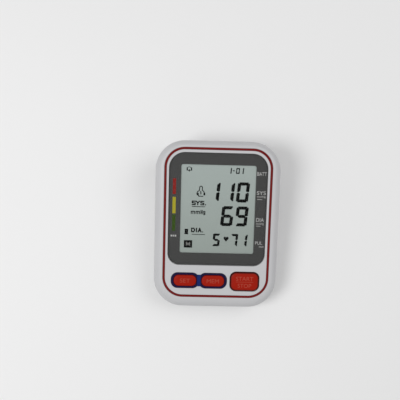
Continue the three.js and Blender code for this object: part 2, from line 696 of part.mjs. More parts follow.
function makeGlass() {
  const upperPane = roundedOutline({
    y: WINDOW_Y,
    width: GLASS_WIDTH,
    length: GLASS_LENGTH - CONTACT_LEDGE,
    radius: GLASS_RADIUS,
    steps: SMALL_CORNER_STEPS,
  });
  return joined(
    slab(glassOutline(0), GLASS_BOTTOM, GLASS_TOP - GLASS_THICKNESS),
    slab(upperPane, GLASS_BOTTOM, GLASS_TOP),
  );
}

function makeGlassFrame() {
  return cutBy(
    slab(glassOutline(FIT + FRAME_WALL), FRAME_BOTTOM, FRAME_TOP),
    slab(glassOutline(FIT), LIP_TOP, FRAME_TOP + CUT),
    slab(glassOutline(-FRAME_LIP_WIDTH), FRAME_BOTTOM - CUT, LIP_TOP + CUT),
  );
}

// The contact strip stands between the glass's bare ledge and the board, beside the frame's lip.
const makeContactStrip = () => block({
  x: about(0, GLASS_WIDTH - 2 * FRAME_LIP_WIDTH - 2 * FIT),
  y: about(GLASS_Y - GLASS_LENGTH / 2 + FRAME_LIP_WIDTH + FIT + STRIP_WIDTH / 2, STRIP_WIDTH),
  z: [BOARD_TOP + FIT, GLASS_BOTTOM - FIT],
});

// Keys, their surround and the rubber mat

function makeKeyCap(key) {
  const sections = [
    lifted(keyOutline(key, KEY_FLANGE_WIDTH), FLANGE_BOTTOM),
    lifted(keyOutline(key, KEY_FLANGE_WIDTH), FLANGE_TOP),
    lifted(keyOutline(key, 0), FLANGE_TOP),
  ];
  for (let step = 0; step <= EDGE_STEPS; step++) {
    const angle = step / EDGE_STEPS * Math.PI / 2;
    const inset = KEY_EDGE_ROUND * (1 - Math.cos(angle));
    const height = KEY_PROUD - KEY_CROWN - KEY_EDGE_ROUND * (1 - Math.sin(angle));
    sections.push(lifted(keyOutline(key, -inset), height));
  }
  const half = lifted(keyOutline(key, -KEY_CROWN_INSET), KEY_PROUD - KEY_CROWN / 3);
  return loft([...sections, half], KEY_CROWN / 3);
}

function makeSurround() {
  const holes = keys.slice(0, 2).map((key) => slab(keyOutline(key, FIT), SURROUND_BOTTOM - CUT, CUT));
  return cutBy(surroundBody(0, SURROUND_BOTTOM, SURROUND_TOP), ...holes);
}

// The post under each key carries the contact pill, and moves with the key.
function makeKeyPost(key) {
  return turned([
    [0, POST_BOTTOM],
    [POST_RADIUS - POST_CHAMFER, POST_BOTTOM],
    [POST_RADIUS, POST_BOTTOM + POST_CHAMFER],
    [POST_RADIUS, POST_TOP],
    [0, POST_TOP],
  ]).translate(key.x, key.y, 0);
}

function makeMat() {
  const sheet = slab(roundedOutline({
    y: START_KEY_Y, width: MAT_WIDTH, length: MAT_LENGTH, radius: MAT_RADIUS, steps: SMALL_CORNER_STEPS,
  }), MAT_BOTTOM, MAT_TOP);
  const inner = POST_RADIUS + FIT;
  const skirts = keys.map((key) => turned([
    [0, MAT_BOTTOM],
    [inner + SKIRT_SPREAD + SKIRT_WALL, MAT_BOTTOM],
    [inner + SKIRT_SPREAD + SKIRT_WALL, MAT_TOP],
    [inner + SKIRT_WALL, SKIRT_TOP],
    [0, SKIRT_TOP],
  ]).translate(key.x, key.y, 0));
  const bores = keys.map((key) => rod(inner, MAT_BOTTOM - CUT, SKIRT_TOP + CUT).translate(key.x, key.y, 0));
  return cutBy(joined(sheet, ...skirts), ...bores);
}

// Circuit board and what is soldered to its underside

function makeBoard() {
  const board = slab(roundedOutline({
    y: BOARD_Y, width: BOARD_WIDTH, length: BOARD_LENGTH, radius: BOARD_RADIUS, steps: SMALL_CORNER_STEPS,
  }), BOARD_BOTTOM, BOARD_TOP);
  const notches = signs.map((sign) => {
    const notch = rod(upperBossRadius + 2 * FIT, 0, FACE_HEIGHT * 2, SMALL_ROUND_STEPS);
    return toFace(atScrew(notch, sign));
  });
  return cutBy(board, ...notches);
}

function makeChip() {
  const top = BOARD_BOTTOM - FIT;
  const half = CHIP_SIZE / 2;
  const body = block({
    x: about(CHIP_X, CHIP_SIZE),
    y: about(CHIP_Y, CHIP_SIZE),
    z: [top - CHIP_HEIGHT, top],
  });
  const leads = [];
  for (let place = CHIP_LEAD_PITCH - half; place <= half - CHIP_LEAD_PITCH; place += CHIP_LEAD_PITCH) {
    leads.push(block({
      x: about(CHIP_X, CHIP_SIZE + 2 * CHIP_LEAD_REACH),
      y: about(CHIP_Y + place, CHIP_LEAD_WIDTH),
      z: [top - CHIP_HEIGHT / 2, top - CHIP_HEIGHT / 4],
    }));
    leads.push(block({
      x: about(CHIP_X + place, CHIP_LEAD_WIDTH),
      y: about(CHIP_Y, CHIP_SIZE + 2 * CHIP_LEAD_REACH),
      z: [top - CHIP_HEIGHT / 2, top - CHIP_HEIGHT / 4],
    }));
  }
  return joined(body, ...leads);
}

function makeBuzzer() {
  const top = BOARD_BOTTOM - FIT;
  const low = top - BUZZER_HEIGHT;
  return turned([
    [0, low + BUZZER_HOLE_DEPTH],
    [BUZZER_HOLE_RADIUS, low + BUZZER_HOLE_DEPTH],
    [BUZZER_HOLE_RADIUS, low],
    [BUZZER_RADIUS - BUZZER_EDGE, low],
    [BUZZER_RADIUS, low + BUZZER_EDGE],
    [BUZZER_RADIUS, top],
    [0, top],
  ]).translate(BUZZER_X, BUZZER_Y, 0);
}

// The sensor's nipple points at the manifold below it.
const sensorTop = BOARD_BOTTOM - FIT;
const sensorBottom = sensorTop - SENSOR_HEIGHT;
const manifoldTop = AIR_HEIGHT + MANIFOLD_RADIUS + BARB_LENGTH;
const sensorPlace = new THREE.Vector3(MANIFOLD_X, AIR_Y, manifoldTop + BARB_LENGTH)
  .applyMatrix4(faceMatrixBack);

function makeSensor() {
  const body = block({
    x: about(sensorPlace.x, SENSOR_SIZE),
    y: about(sensorPlace.y, SENSOR_SIZE),
    z: [sensorBottom, sensorTop],
  });
  const nipple = rod(BARB_RADIUS, sensorBottom - BARB_LENGTH, sensorBottom + OVERLAP, SMALL_ROUND_STEPS)
    .translate(sensorPlace.x, sensorPlace.y, 0);
  const bore = rod(BARB_BORE_RADIUS, sensorBottom - BARB_LENGTH - CUT, sensorBottom, SMALL_ROUND_STEPS)
    .translate(sensorPlace.x, sensorPlace.y, 0);
  return cutBy(joined(body, nipple), bore);
}

// Lower casing, drawn upright

const baseOutline = (inset) => roundedOutline({
  width: 2 * (SIDE_X - inset),
  length: 2 * (BASE_HALF_LENGTH - inset),
  radius: RING_RADIUS + SIDE_OFFSET - inset,
});

const partingOutline = (inset, depth) => sideOutline(inset)
  .map((point) => pointToTable(point.x, point.y, -depth));

// Level rows of a rounded lower edge, from the base plane up.
function baseRows({ inset, round, bottom, steps }) {
  return Array.from({ length: steps + 1 }, (_, step) => {
    const angle = step / steps * Math.PI / 2;
    const rowInset = inset + round * (1 - Math.sin(angle));
    return lifted(baseOutline(rowInset), bottom + round * (1 - Math.cos(angle)));
  });
}

const cellY = (cell) => CELL_Y + (cell - (CELL_COUNT - 1) / 2) * CELL_PITCH;

// The compartment's roof follows the cells, so its outside and inside are rows of half rounds.
function tubBody(wall, bottom) {
  const halfLength = TUB_HALF_LENGTH + wall;
  const halfWidth = TUB_HALF_WIDTH + wall;
  const walls = block({
    x: [-halfLength, halfLength],
    y: about(CELL_Y, 2 * halfWidth),
    z: [bottom, CELL_HEIGHT],
  });
  const roofs = Array.from({ length: CELL_COUNT }, (_, cell) => rod(TUB_BORE + wall, -halfLength, halfLength)
    .rotateY(Math.PI / 2)
    .translate(0, cellY(cell), CELL_HEIGHT));
  return joined(walls, ...roofs);
}

const hookRoom = (x) => block({
  x: about(x, HOOK_WIDTH + 2 * FIT),
  y: [HINGE_Y - HOOK_OUTER - FIT, HINGE_Y + HOOK_OUTER],
  z: [FOOT_STAND + HOOK_LEDGE, FOOT_STAND + HOOK_OUTER + 2 * FIT],
});

const latchRoomFront = LATCH_FRONT - LATCH_GAP;
const latchRoomTop = FOOT_STAND + LATCH_HEIGHT + 2 * FIT;

function makeLatchRoom(wall) {
  return block({
    x: about(0, LATCH_WIDTH + 2 * (LATCH_SIDE_GAP + wall)),
    y: [latchRoomFront - wall, DOOR_FRONT + TUB_WALL + OVERLAP],
    z: [FOOT_STAND - (wall > 0 ? 0 : CUT), latchRoomTop + wall],
  });
}

// Thumb recess: a scoop in the base in front of the latch.
const thumbScoop = () => new THREE.SphereGeometry(SCOOP_RADIUS, ROUND_STEPS, SMALL_ROUND_STEPS)
  .translate(0, latchRoomFront, FOOT_STAND + SCOOP_DEPTH - SCOOP_RADIUS);

function pumpCradles() {
  const middle = MOTOR_START + MOTOR_LENGTH / 2;
  const ribs = [-1, 1].map((side) => block({
    x: about(middle + side * CRADLE_SPACING / 2, CRADLE_THICKNESS),
    y: about(AIR_Y, 2 * (SLEEVE_RADIUS + CRADLE_THICKNESS)),
    z: [FLOOR_TOP - OVERLAP, FLOOR_TOP + CRADLE_HEIGHT],
  }));
  const headRibs = [0.25, 0.75].map((share) => block({
    x: about(PUMP_HEAD_END + share * PUMP_HEAD_LENGTH, CRADLE_THICKNESS),
    y: about(AIR_Y, PUMP_HEAD_SIZE - 2 * PUMP_HEAD_ROUND),
    z: [FLOOR_TOP - OVERLAP, AIR_HEIGHT - PUMP_HEAD_SIZE / 2 - FIT],
  }));
  const seat = alongAir(rod(SLEEVE_RADIUS + FIT, -SIDE_X, SIDE_X));
  return [...ribs.map((rib) => cutBy(rib, seat)), ...headRibs];
}

function makeBottomCover() {
  const outer = loft([
    ...baseRows({ inset: BASE_INSET, round: BASE_ROUND, bottom: FOOT_STAND, steps: BASE_STEPS }),
    partingOutline(0, PARTING_DEPTH + PARTING_GAP),
  ]);
  const inner = loft([
    ...baseRows({
      inset: BASE_INSET + WALL, round: BASE_INNER_ROUND, bottom: FLOOR_TOP, steps: INNER_BASE_STEPS,
    }),
    partingOutline(WALL, PARTING_DEPTH + PARTING_GAP - CUT),
  ]);
  const tongue = toTable(cutBy(
    slab(
      sideOutline(WALL - TONGUE_THICKNESS),
      -PARTING_DEPTH - PARTING_GAP - OVERLAP,
      -PARTING_DEPTH + TONGUE_HEIGHT - FIT,
    ),
    slab(sideOutline(WALL), -PARTING_DEPTH - CUT, 0),
  ));

  const additions = [
    tubBody(TUB_WALL, FOOT_STAND),
    block({
      x: about(0, 2 * (DOOR_HALF_LENGTH + DOOR_PAD)),
      y: [DOOR_FRONT - DOOR_PAD, DOOR_BACK],
      z: [FOOT_STAND, DOOR_SEAT + DOOR_PAD],
    }),
    makeLatchRoom(TUB_WALL),
    ...signs.map((sign) => atScrew(rod(lowerBossRadius, FOOT_STAND, bossJoint(sign) - FIT / 2), sign)),
    ...pumpCradles(),
    alongAir(rod(SOCKET_FLANGE_RADIUS + FIT + WALL, -SIDE_X, SOCKET_SEAT + 2 * WALL)),
  ];
  const trimmed = additions.map((addition) => common(addition, outer));

  const cutters = [
    tubBody(0, FOOT_STAND - CUT),
    block({
      x: about(0, 2 * (DOOR_HALF_LENGTH + FIT)),
      y: [DOOR_FRONT - FIT, DOOR_BACK],
      z: [FOOT_STAND - CUT, DOOR_SEAT],
    }),
    hookRoom(-HOOK_X),
    hookRoom(HOOK_X),
    makeLatchRoom(0),
    thumbScoop(),
    ...signs.map((sign) => rod(FOOT_RADIUS + FIT, 0, FOOT_HEIGHT + FIT / 3)
      .translate(sign.x * FOOT_X, sign.y * FOOT_Y, 0)),
    ...signs.map((sign) => atScrew(rod(SCREW_HEAD_RADIUS + FIT, 0, screwSeat(sign)), sign)),
    ...signs.map((sign) => atScrew(rod(SCREW_RADIUS + FIT, 0, bossJoint(sign), SMALL_ROUND_STEPS), sign)),
    alongAir(rod(SOCKET_FLANGE_RADIUS + FIT, -2 * SIDE_X, SOCKET_SEAT)),
    alongAir(rod(SOCKET_BODY_RADIUS + FIT, -2 * SIDE_X, SOCKET_SEAT + SOCKET_LENGTH)),
    alongAir(rod(JACK_NOSE_RADIUS + FIT, SIDE_X - 2 * WALL - BASE_INSET, 2 * SIDE_X), JACK_Y),
  ];
  return cutBy(joined(cutBy(outer, inner), tongue, ...trimmed), ...cutters);
}

const makeFoot = (sign) => turned([
  [0, 0],
  [FOOT_RADIUS - FOOT_EDGE, 0],
  [FOOT_RADIUS, FOOT_EDGE],
  [FOOT_RADIUS, FOOT_HEIGHT],
  [0, FOOT_HEIGHT],
]).translate(sign.x * FOOT_X, sign.y * FOOT_Y, 0);

function makeScrew(sign) {
  const seat = screwSeat(sign) - FIT / 2;
  const head = turned([
    [0, seat - SCREW_HEAD_HEIGHT],
    [SCREW_HEAD_RADIUS - SCREW_HEAD_EDGE, seat - SCREW_HEAD_HEIGHT],
    [SCREW_HEAD_RADIUS, seat - SCREW_HEAD_HEIGHT + SCREW_HEAD_EDGE],
    [SCREW_HEAD_RADIUS, seat],
    [SCREW_RADIUS, seat],
    [SCREW_RADIUS, seat + SCREW_LENGTH - SCREW_TIP_LENGTH],
    [SCREW_TIP_RADIUS, seat + SCREW_LENGTH],
    [0, seat + SCREW_LENGTH],
  ], SMALL_ROUND_STEPS);
  const cross = [
    [SCREW_CROSS_LENGTH, SCREW_CROSS_WIDTH],
    [SCREW_CROSS_WIDTH, SCREW_CROSS_LENGTH],
  ].map(([x, y]) => block({
    x: about(0, x),
    y: about(0, y),
    z: [seat - SCREW_HEAD_HEIGHT - CUT, seat - SCREW_HEAD_HEIGHT + SCREW_CROSS_DEPTH],
  }));
  return atScrew(cutBy(head, ...cross), sign);
}

// Door over the cells

function makeHook(x) {
  const outline = new THREE.Shape();
  outline.absarc(0, 0, HOOK_OUTER, HOOK_END, HOOK_ROOT, false);
  outline.absarc(0, 0, HOOK_INNER, HOOK_ROOT, HOOK_END, true);
  const hook = new THREE.ExtrudeGeometry(outline, {
    depth: HOOK_WIDTH, bevelEnabled: false, curveSegments: SMALL_ROUND_STEPS,
  });
  // The drawing's x is the table's Y, its y is Z, and the extrusion runs along X.
  return hook.rotateZ(Math.PI / 2).rotateY(Math.PI / 2).translate(x - HOOK_WIDTH / 2, HINGE_Y, FOOT_STAND);
}

function makeLatch() {
  const top = FOOT_STAND + LATCH_HEIGHT;
  const inner = LATCH_FRONT + LATCH_SPAN;
  const outline = new THREE.Shape();
  const bend = LATCH_SPAN / 2;
  const bendY = (LATCH_FRONT + inner) / 2;
  outline.moveTo(LATCH_FRONT, FOOT_STAND);
  outline.lineTo(LATCH_FRONT + LATCH_LEG, FOOT_STAND);
  outline.lineTo(LATCH_FRONT + LATCH_LEG, top - bend);
  outline.absarc(bendY, top - bend, bend - LATCH_LEG, Math.PI, 0, true);
  outline.lineTo(inner - LATCH_LEG, DOOR_TOP - OVERLAP);
  outline.lineTo(inner, DOOR_TOP - OVERLAP);
  outline.lineTo(inner, top - bend);
  outline.absarc(bendY, top - bend, bend, 0, Math.PI, false);
  outline.lineTo(LATCH_FRONT, FOOT_STAND + LATCH_NUB_TOP);
  outline.lineTo(LATCH_FRONT - LATCH_NUB, FOOT_STAND + LATCH_NUB_PEAK);
  outline.lineTo(LATCH_FRONT, FOOT_STAND + LATCH_NUB_BOTTOM);
  outline.closePath();
  const latch = new THREE.ExtrudeGeometry(outline, {
    depth: LATCH_WIDTH, bevelEnabled: false, curveSegments: EDGE_STEPS * 2,
  });
  return latch.rotateZ(Math.PI / 2).rotateY(Math.PI / 2).translate(-LATCH_WIDTH / 2, 0, 0);
}

function makeDoor() {
  const panel = slab(roundedOutline({
    y: (DOOR_FRONT + DOOR_BACK - FIT) / 2,
    width: 2 * DOOR_HALF_LENGTH,
    length: DOOR_BACK - DOOR_FRONT - FIT,
    radius: DOOR_RADIUS,
    steps: SMALL_CORNER_STEPS,
  }), FOOT_STAND, DOOR_TOP);
  const latchOpening = block({
    x: about(0, LATCH_WIDTH + 2 * LATCH_SIDE_GAP),
    y: [DOOR_FRONT - CUT, LATCH_FRONT + LATCH_SPAN - LATCH_LEG],
    z: [FOOT_STAND - CUT, DOOR_TOP + CUT],
  });
  const grips = Array.from({ length: GRIP_COUNT }, (_, grip) => block({
    x: about(0, LATCH_WIDTH),
    y: about(LATCH_FRONT + LATCH_SPAN + GRIP_START + grip * GRIP_PITCH, GRIP_PITCH / 2),
    z: [FOOT_STAND - CUT, FOOT_STAND + GRIP_DEPTH],
  }));
  const body = joined(cutBy(panel, latchOpening), makeLatch(), makeHook(-HOOK_X), makeHook(HOOK_X));
  return cutBy(body, ...grips);
}

// Cells and contacts. Each cell faces the other way from its neighbour.

const facing = (cell) => (cell % 2 === 0 ? 1 : -1);

function makeCell(cell) {
  const half = (CELL_LENGTH + CELL_NUB_LENGTH) / 2;
  const shoulder = half - CELL_NUB_LENGTH;
  const body = turned([
    [0, -half],
    [CELL_RADIUS - CELL_EDGE, -half],
    [CELL_RADIUS, -half + CELL_EDGE],
    [CELL_RADIUS, shoulder - CELL_EDGE],
    [CELL_RADIUS - CELL_EDGE, shoulder],
    [CELL_NUB_RADIUS, shoulder],
    [CELL_NUB_RADIUS, half],
    [0, half],
  ]);
  return body.rotateY(facing(cell) * Math.PI / 2).translate(0, cellY(cell), CELL_HEIGHT);
}

// A cone of wire that starts in its plate and ends flat against the cell.
class SpringCurve extends THREE.Curve {
  constructor(length) {
    super();
    this.length = length;
  }

  getPoint(t) {
    const angle = t * SPRING_TURNS * 2 * Math.PI;
    const radius = THREE.MathUtils.lerp(SPRING_WIDE, SPRING_NARROW, t);
    return new THREE.Vector3(t * this.length, radius * Math.cos(angle), radius * Math.sin(angle));
  }
}

function makeSpring(side, cell) {
  const wire = new THREE.Shape(polygon(SPRING_WIRE, WIRE_SIDES));
  const length = SPRING_ROOM - FIT - PLATE_THICKNESS / 2 - SPRING_WIRE - FIT;
  const spring = new THREE.ExtrudeGeometry(wire, {
    steps: SPRING_TURNS * SPRING_STEPS,
    bevelEnabled: false,
    extrudePath: new SpringCurve(length),
  });
  if (side > 0) spring.rotateZ(Math.PI);
  return spring.translate(side * (TUB_HALF_LENGTH - FIT - PLATE_THICKNESS / 2), cellY(cell), CELL_HEIGHT);
}

// One strip of metal at one end of the compartment, for one cell or for two that it joins.
function makeContact({ side, cells }) {
  const outerFace = TUB_HALF_LENGTH - FIT;
  const x = side > 0 ? [outerFace - PLATE_THICKNESS, outerFace] : [-outerFace, -outerFace + PLATE_THICKNESS];
  const plates = cells.map((cell) => block({
    x, y: about(cellY(cell), PLATE_WIDTH), z: about(CELL_HEIGHT, PLATE_HEIGHT),
  }));
  const bridge = block({
    x,
    y: [cellY(cells[0]) - PLATE_WIDTH / 4, cellY(cells.at(-1)) + PLATE_WIDTH / 4],
    z: [CELL_HEIGHT - PLATE_HEIGHT / 2, CELL_HEIGHT - FIT],
  });
  const ends = cells.map((cell) => {
    const isPositive = facing(cell) === side;
    if (!isPositive) return makeSpring(side, cell);
    const reach = SPRING_ROOM - FIT - FIT;
    const button = rod(CELL_NUB_RADIUS, 0, reach - PLATE_THICKNESS / 2, SMALL_ROUND_STEPS)
      .rotateY(-side * Math.PI / 2);
    return button.translate(side * (outerFace - PLATE_THICKNESS / 2), cellY(cell), CELL_HEIGHT);
  });
  return joined(...plates, bridge, ...ends);
}

const contacts = [
  { name: 'contact_positive', side: 1, cells: [0] },
  { name: 'contact_link_left_front', side: -1, cells: [0, 1] },
  { name: 'contact_link_right', side: 1, cells: [1, 2] },
  { name: 'contact_link_left_back', side: -1, cells: [2, 3] },
  { name: 'contact_negative', side: 1, cells: [3] },
];

// Air system

function makeSocket() {
  const tip = SOCKET_BACK + BARB_LENGTH;
  return alongAir(turned([
    [SOCKET_BORE_RADIUS, SOCKET_SEAT - SOCKET_FLANGE],
    [SOCKET_FLANGE_RADIUS - SOCKET_EDGE, SOCKET_SEAT - SOCKET_FLANGE],
    [SOCKET_FLANGE_RADIUS, SOCKET_SEAT - SOCKET_FLANGE + SOCKET_EDGE],
    [SOCKET_FLANGE_RADIUS, SOCKET_SEAT - FIT],
    [SOCKET_BODY_RADIUS, SOCKET_SEAT - FIT],
    [SOCKET_BODY_RADIUS, SOCKET_BACK],
    [BARB_RADIUS, SOCKET_BACK],
    [BARB_RADIUS, tip],
    [BARB_BORE_RADIUS, tip],
    [BARB_BORE_RADIUS, SOCKET_SEAT + SOCKET_DEPTH],
    [SOCKET_BORE_RADIUS, SOCKET_SEAT + SOCKET_DEPTH - SOCKET_THROAT],
    [SOCKET_BORE_RADIUS, SOCKET_SEAT - SOCKET_FLANGE],
  ]));
}

function makeManifold() {
  const across = rod(BARB_RADIUS, -MANIFOLD_REACH, MANIFOLD_REACH, SMALL_ROUND_STEPS).rotateY(Math.PI / 2);
  const back = rod(BARB_RADIUS, 0, MANIFOLD_REACH, SMALL_ROUND_STEPS).rotateX(-Math.PI / 2);
  const up = rod(BARB_RADIUS, 0, MANIFOLD_REACH, SMALL_ROUND_STEPS);
  const through = MANIFOLD_REACH + CUT;
  const bores = [
    rod(BARB_BORE_RADIUS, -through, through, SMALL_ROUND_STEPS).rotateY(Math.PI / 2),
    rod(BARB_BORE_RADIUS, 0, through, SMALL_ROUND_STEPS).rotateX(-Math.PI / 2),
    rod(BARB_BORE_RADIUS, 0, through, SMALL_ROUND_STEPS),
  ];
  const hub = new THREE.BoxGeometry(2 * MANIFOLD_RADIUS, 2 * MANIFOLD_RADIUS, 2 * MANIFOLD_RADIUS);
  return cutBy(joined(hub, across, back, up), ...bores).translate(MANIFOLD_X, AIR_Y, AIR_HEIGHT);
}

function makeHose(path, steps) {
  const section = new THREE.Shape(polygon(HOSE_RADIUS, HOSE_SIDES));
  section.holes.push(new THREE.Path(polygon(HOSE_BORE_RADIUS, HOSE_SIDES)));
  return new THREE.ExtrudeGeometry(section, { steps, bevelEnabled: false, extrudePath: path });
}

const straightHose = (from, to) => makeHose(new THREE.LineCurve3(from, to), 1);

// The sensor hose runs straight over both nipples and bends in between.
function makeSensorHose() {
  const bottom = new THREE.Vector3(MANIFOLD_X, AIR_Y, AIR_HEIGHT + MANIFOLD_RADIUS + FIT);
  const overBarb = new THREE.Vector3(MANIFOLD_X, AIR_Y, manifoldTop);
  const nippleTip = pointToTable(sensorPlace.x, sensorPlace.y, sensorBottom - BARB_LENGTH);
  const nippleRoot = pointToTable(sensorPlace.x, sensorPlace.y, sensorBottom - FIT);
  const axis = nippleRoot.clone().sub(nippleTip).normalize();
  const bendHeight = (nippleTip.z - overBarb.z) / 2;
  const path = new THREE.CurvePath();
  path.add(new THREE.LineCurve3(bottom, overBarb));
  path.add(new THREE.CubicBezierCurve3(
    overBarb,
    overBarb.clone().add(new THREE.Vector3(0, 0, bendHeight)),
    nippleTip.clone().addScaledVector(axis, -bendHeight),
    nippleTip,
  ));
  path.add(new THREE.LineCurve3(nippleTip, nippleRoot));
  return makeHose(path, SENSOR_HOSE_STEPS);
}

function makePumpHead() {
  const square = (growth) => roundedOutline({
    width: PUMP_HEAD_SIZE + growth,
    length: PUMP_HEAD_SIZE + growth,
    radius: PUMP_HEAD_ROUND,
    steps: SMALL_CORNER_STEPS,
  });
  const end = PUMP_HEAD_END + PUMP_HEAD_LENGTH;
  const groove = (place) => cutBy(
    slab(square(CUT), place, place + PUMP_SEAM),
    slab(square(-2 * PUMP_SEAM), place - CUT, place + CUT),
  );
  const nipple = rod(BARB_RADIUS, PUMP_HEAD_END - BARB_LENGTH, PUMP_HEAD_END + OVERLAP, SMALL_ROUND_STEPS);
  const bore = rod(BARB_BORE_RADIUS, PUMP_HEAD_END - BARB_LENGTH - CUT, end, SMALL_ROUND_STEPS);
  const crankRoom = rod(CRANK_ROOM_RADIUS, end - CRANK_ROOM_LENGTH, end + CUT);
  const seams = PUMP_SEAM_PLACES.map((place) => groove(PUMP_HEAD_END + place));
  return alongAir(cutBy(joined(slab(square(0), PUMP_HEAD_END, end), nipple), ...seams, bore, crankRoom));
}

function makeMotor() {
  const end = MOTOR_START + MOTOR_LENGTH;
  return alongAir(turned([
    [SHAFT_RADIUS + SHAFT_PLAY, MOTOR_START],
    [MOTOR_RADIUS - MOTOR_EDGE, MOTOR_START],
    [MOTOR_RADIUS, MOTOR_START + MOTOR_EDGE],
    [MOTOR_RADIUS, end - MOTOR_EDGE],
    [MOTOR_RADIUS - MOTOR_EDGE, end],
    [MOTOR_BOSS_RADIUS, end],
    [MOTOR_BOSS_RADIUS, end + MOTOR_BOSS_LENGTH],
    [SHAFT_RADIUS + SHAFT_PLAY, end + MOTOR_BOSS_LENGTH],
    [SHAFT_RADIUS + SHAFT_PLAY, MOTOR_START],
  ]));
}

function makeShaft() {
  const end = MOTOR_START + MOTOR_LENGTH + MOTOR_BOSS_LENGTH + SHAFT_END;
  const crankEnd = MOTOR_START - CRANK_GAP;
  const crankStart = crankEnd - CRANK_LENGTH;
  const crank = rod(CRANK_RADIUS, crankStart, crankEnd).translate(CRANK_THROW, 0, 0);
  return alongAir(joined(rod(SHAFT_RADIUS, crankStart, end, SMALL_ROUND_STEPS), crank));
}

function makeSleeve() {
  const inner = MOTOR_RADIUS + FIT;
  const start = MOTOR_START + (MOTOR_LENGTH - SLEEVE_LENGTH) / 2;
  return alongAir(turned([
    [inner, start],
    [SLEEVE_RADIUS, start],
    [SLEEVE_RADIUS, start + SLEEVE_LENGTH],
    [inner, start + SLEEVE_LENGTH],
    [inner, start],
  ]));
}

const valveY = VALVE_BACK - VALVE_DEPTH / 2;
const valveFront = VALVE_BACK - VALVE_DEPTH;
const valveBase = FLOOR_TOP + FIT;
const yokeTop = valveBase + YOKE_HEIGHT;
const valveBlockTop = AIR_HEIGHT + BARB_RADIUS + VALVE_ROOF;
const inValve = (geometry) => geometry.translate(MANIFOLD_X, valveY, 0);

// The yoke is an open loop of sheet steel over a base block with the air nipple.
function makeValveBody() {
  const baseBlock = block({
    x: about(0, VALVE_WIDTH), y: about(0, VALVE_DEPTH), z: [valveBase, valveBlockTop],
  });
  const yoke = cutBy(
    block({ x: about(0, VALVE_WIDTH), y: about(0, VALVE_DEPTH), z: [valveBlockTop - OVERLAP, yokeTop] }),
    block({
      x: about(0, VALVE_WIDTH - 2 * YOKE_THICKNESS),
      y: about(0, VALVE_DEPTH + CUT),
      z: [valveBlockTop, yokeTop - YOKE_THICKNESS],
    }),
  );
  const nipple = rod(BARB_RADIUS, 0, VALVE_DEPTH / 2 + BARB_LENGTH - FIT, SMALL_ROUND_STEPS)
    .rotateX(Math.PI / 2)
    .translate(0, 0, AIR_HEIGHT);
  const nippleBore = rod(BARB_BORE_RADIUS, 0, VALVE_DEPTH + BARB_LENGTH, SMALL_ROUND_STEPS)
    .rotateX(Math.PI / 2)
    .translate(0, 0, AIR_HEIGHT);
  const plungerBore = rod(PLUNGER_RADIUS + FIT, AIR_HEIGHT - VALVE_SEAT_DEPTH, yokeTop + CUT);
  return inValve(cutBy(joined(baseBlock, yoke, nipple), nippleBore, plungerBore));
}

const coilBottom = valveBlockTop + FIT;
const coilTop = yokeTop - YOKE_THICKNESS - FIT;

const makeValveCoil = () => inValve(turned([
  [PLUNGER_RADIUS + FIT, coilBottom],
  [COIL_RADIUS, coilBottom],
  [COIL_RADIUS, coilBottom + COIL_RIM],
  [COIL_RADIUS - COIL_RIM_REACH, coilBottom + COIL_RIM],
  [COIL_RADIUS - COIL_RIM_REACH, coilTop - COIL_RIM],
  [COIL_RADIUS, coilTop - COIL_RIM],
  [COIL_RADIUS, coilTop],
  [PLUNGER_RADIUS + FIT, coilTop],
  [PLUNGER_RADIUS + FIT, coilBottom],
]));

// Energised, the plunger drops by its travel until its head is just off the yoke.
function makePlunger() {
  const tip = AIR_HEIGHT + BARB_RADIUS + 2 * FIT + PLUNGER_TRAVEL;
  const headBottom = yokeTop + PLUNGER_TRAVEL + FIT;
  return inValve(turned([
    [0, tip],
    [PLUNGER_RADIUS, tip],
    [PLUNGER_RADIUS, headBottom],
    [PLUNGER_HEAD_RADIUS, headBottom],
    [PLUNGER_HEAD_RADIUS, headBottom + PLUNGER_HEAD_HEIGHT],
    [0, headBottom + PLUNGER_HEAD_HEIGHT],
  ]));
}

// Adapter socket

function makeJack() {
  const body = block({
    x: [JACK_FACE - WALL - JACK_LENGTH, JACK_FACE - WALL - 2 * FIT],
    y: about(JACK_Y, JACK_SIZE),
    z: about(AIR_HEIGHT, JACK_SIZE),
  });
  const nose = alongAir(rod(JACK_NOSE_RADIUS, JACK_FACE - WALL - OVERLAP, JACK_FACE), JACK_Y);
  const bottom = JACK_FACE - JACK_DEPTH;
  const mouth = JACK_FACE - JACK_PIN_SINK;
  const pin = alongAir(rod(JACK_PIN_RADIUS, bottom - OVERLAP, mouth, SMALL_ROUND_STEPS), JACK_Y);
  const bore = alongAir(rod(JACK_BORE_RADIUS, bottom, JACK_FACE + CUT), JACK_Y);
  return joined(cutBy(joined(body, nose), bore), pin);
}

// Assembly

function addPiece(group, name, geometry, material) {
  const mesh = new THREE.Mesh(closed(geometry), material);
  mesh.name = name;
  group.add(mesh);
}

const face = new THREE.Group();
face.rotation.x = FACE_TILT;
face.position.set(0, FACE_Y, FACE_HEIGHT);
addPiece(face, 'top_cover', makeTopCover(), whitePlastic);
addPiece(face, 'trim_ring', makeTrimRing(), redTrim);
addPiece(face, 'display_panel', makePanel(), clearPanel);
addPiece(face, 'display_mask', makeMask(), maskPrint);
addPiece(face, 'display_glass', makeGlass(), displayGlass);
addPiece(face, 'display_frame', makeGlassFrame(), blackPlastic);
addPiece(face, 'contact_strip', makeContactStrip(), darkRubber);
addPiece(face, 'key_surround', makeSurround(), blueTrim);
addPiece(face, 'key_mat', makeMat(), greyRubber);
keys.forEach((key) => {
  addPiece(face, `${key.name}_button`, makeKeyCap(key), redKey);
  addPiece(face, `${key.name}_key_post`, makeKeyPost(key), darkRubber);
});
addPiece(face, 'main_board', makeBoard(), greenBoard);
addPiece(face, 'controller_chip', makeChip(), blackPlastic);
addPiece(face, 'buzzer', makeBuzzer(), blackPlastic);
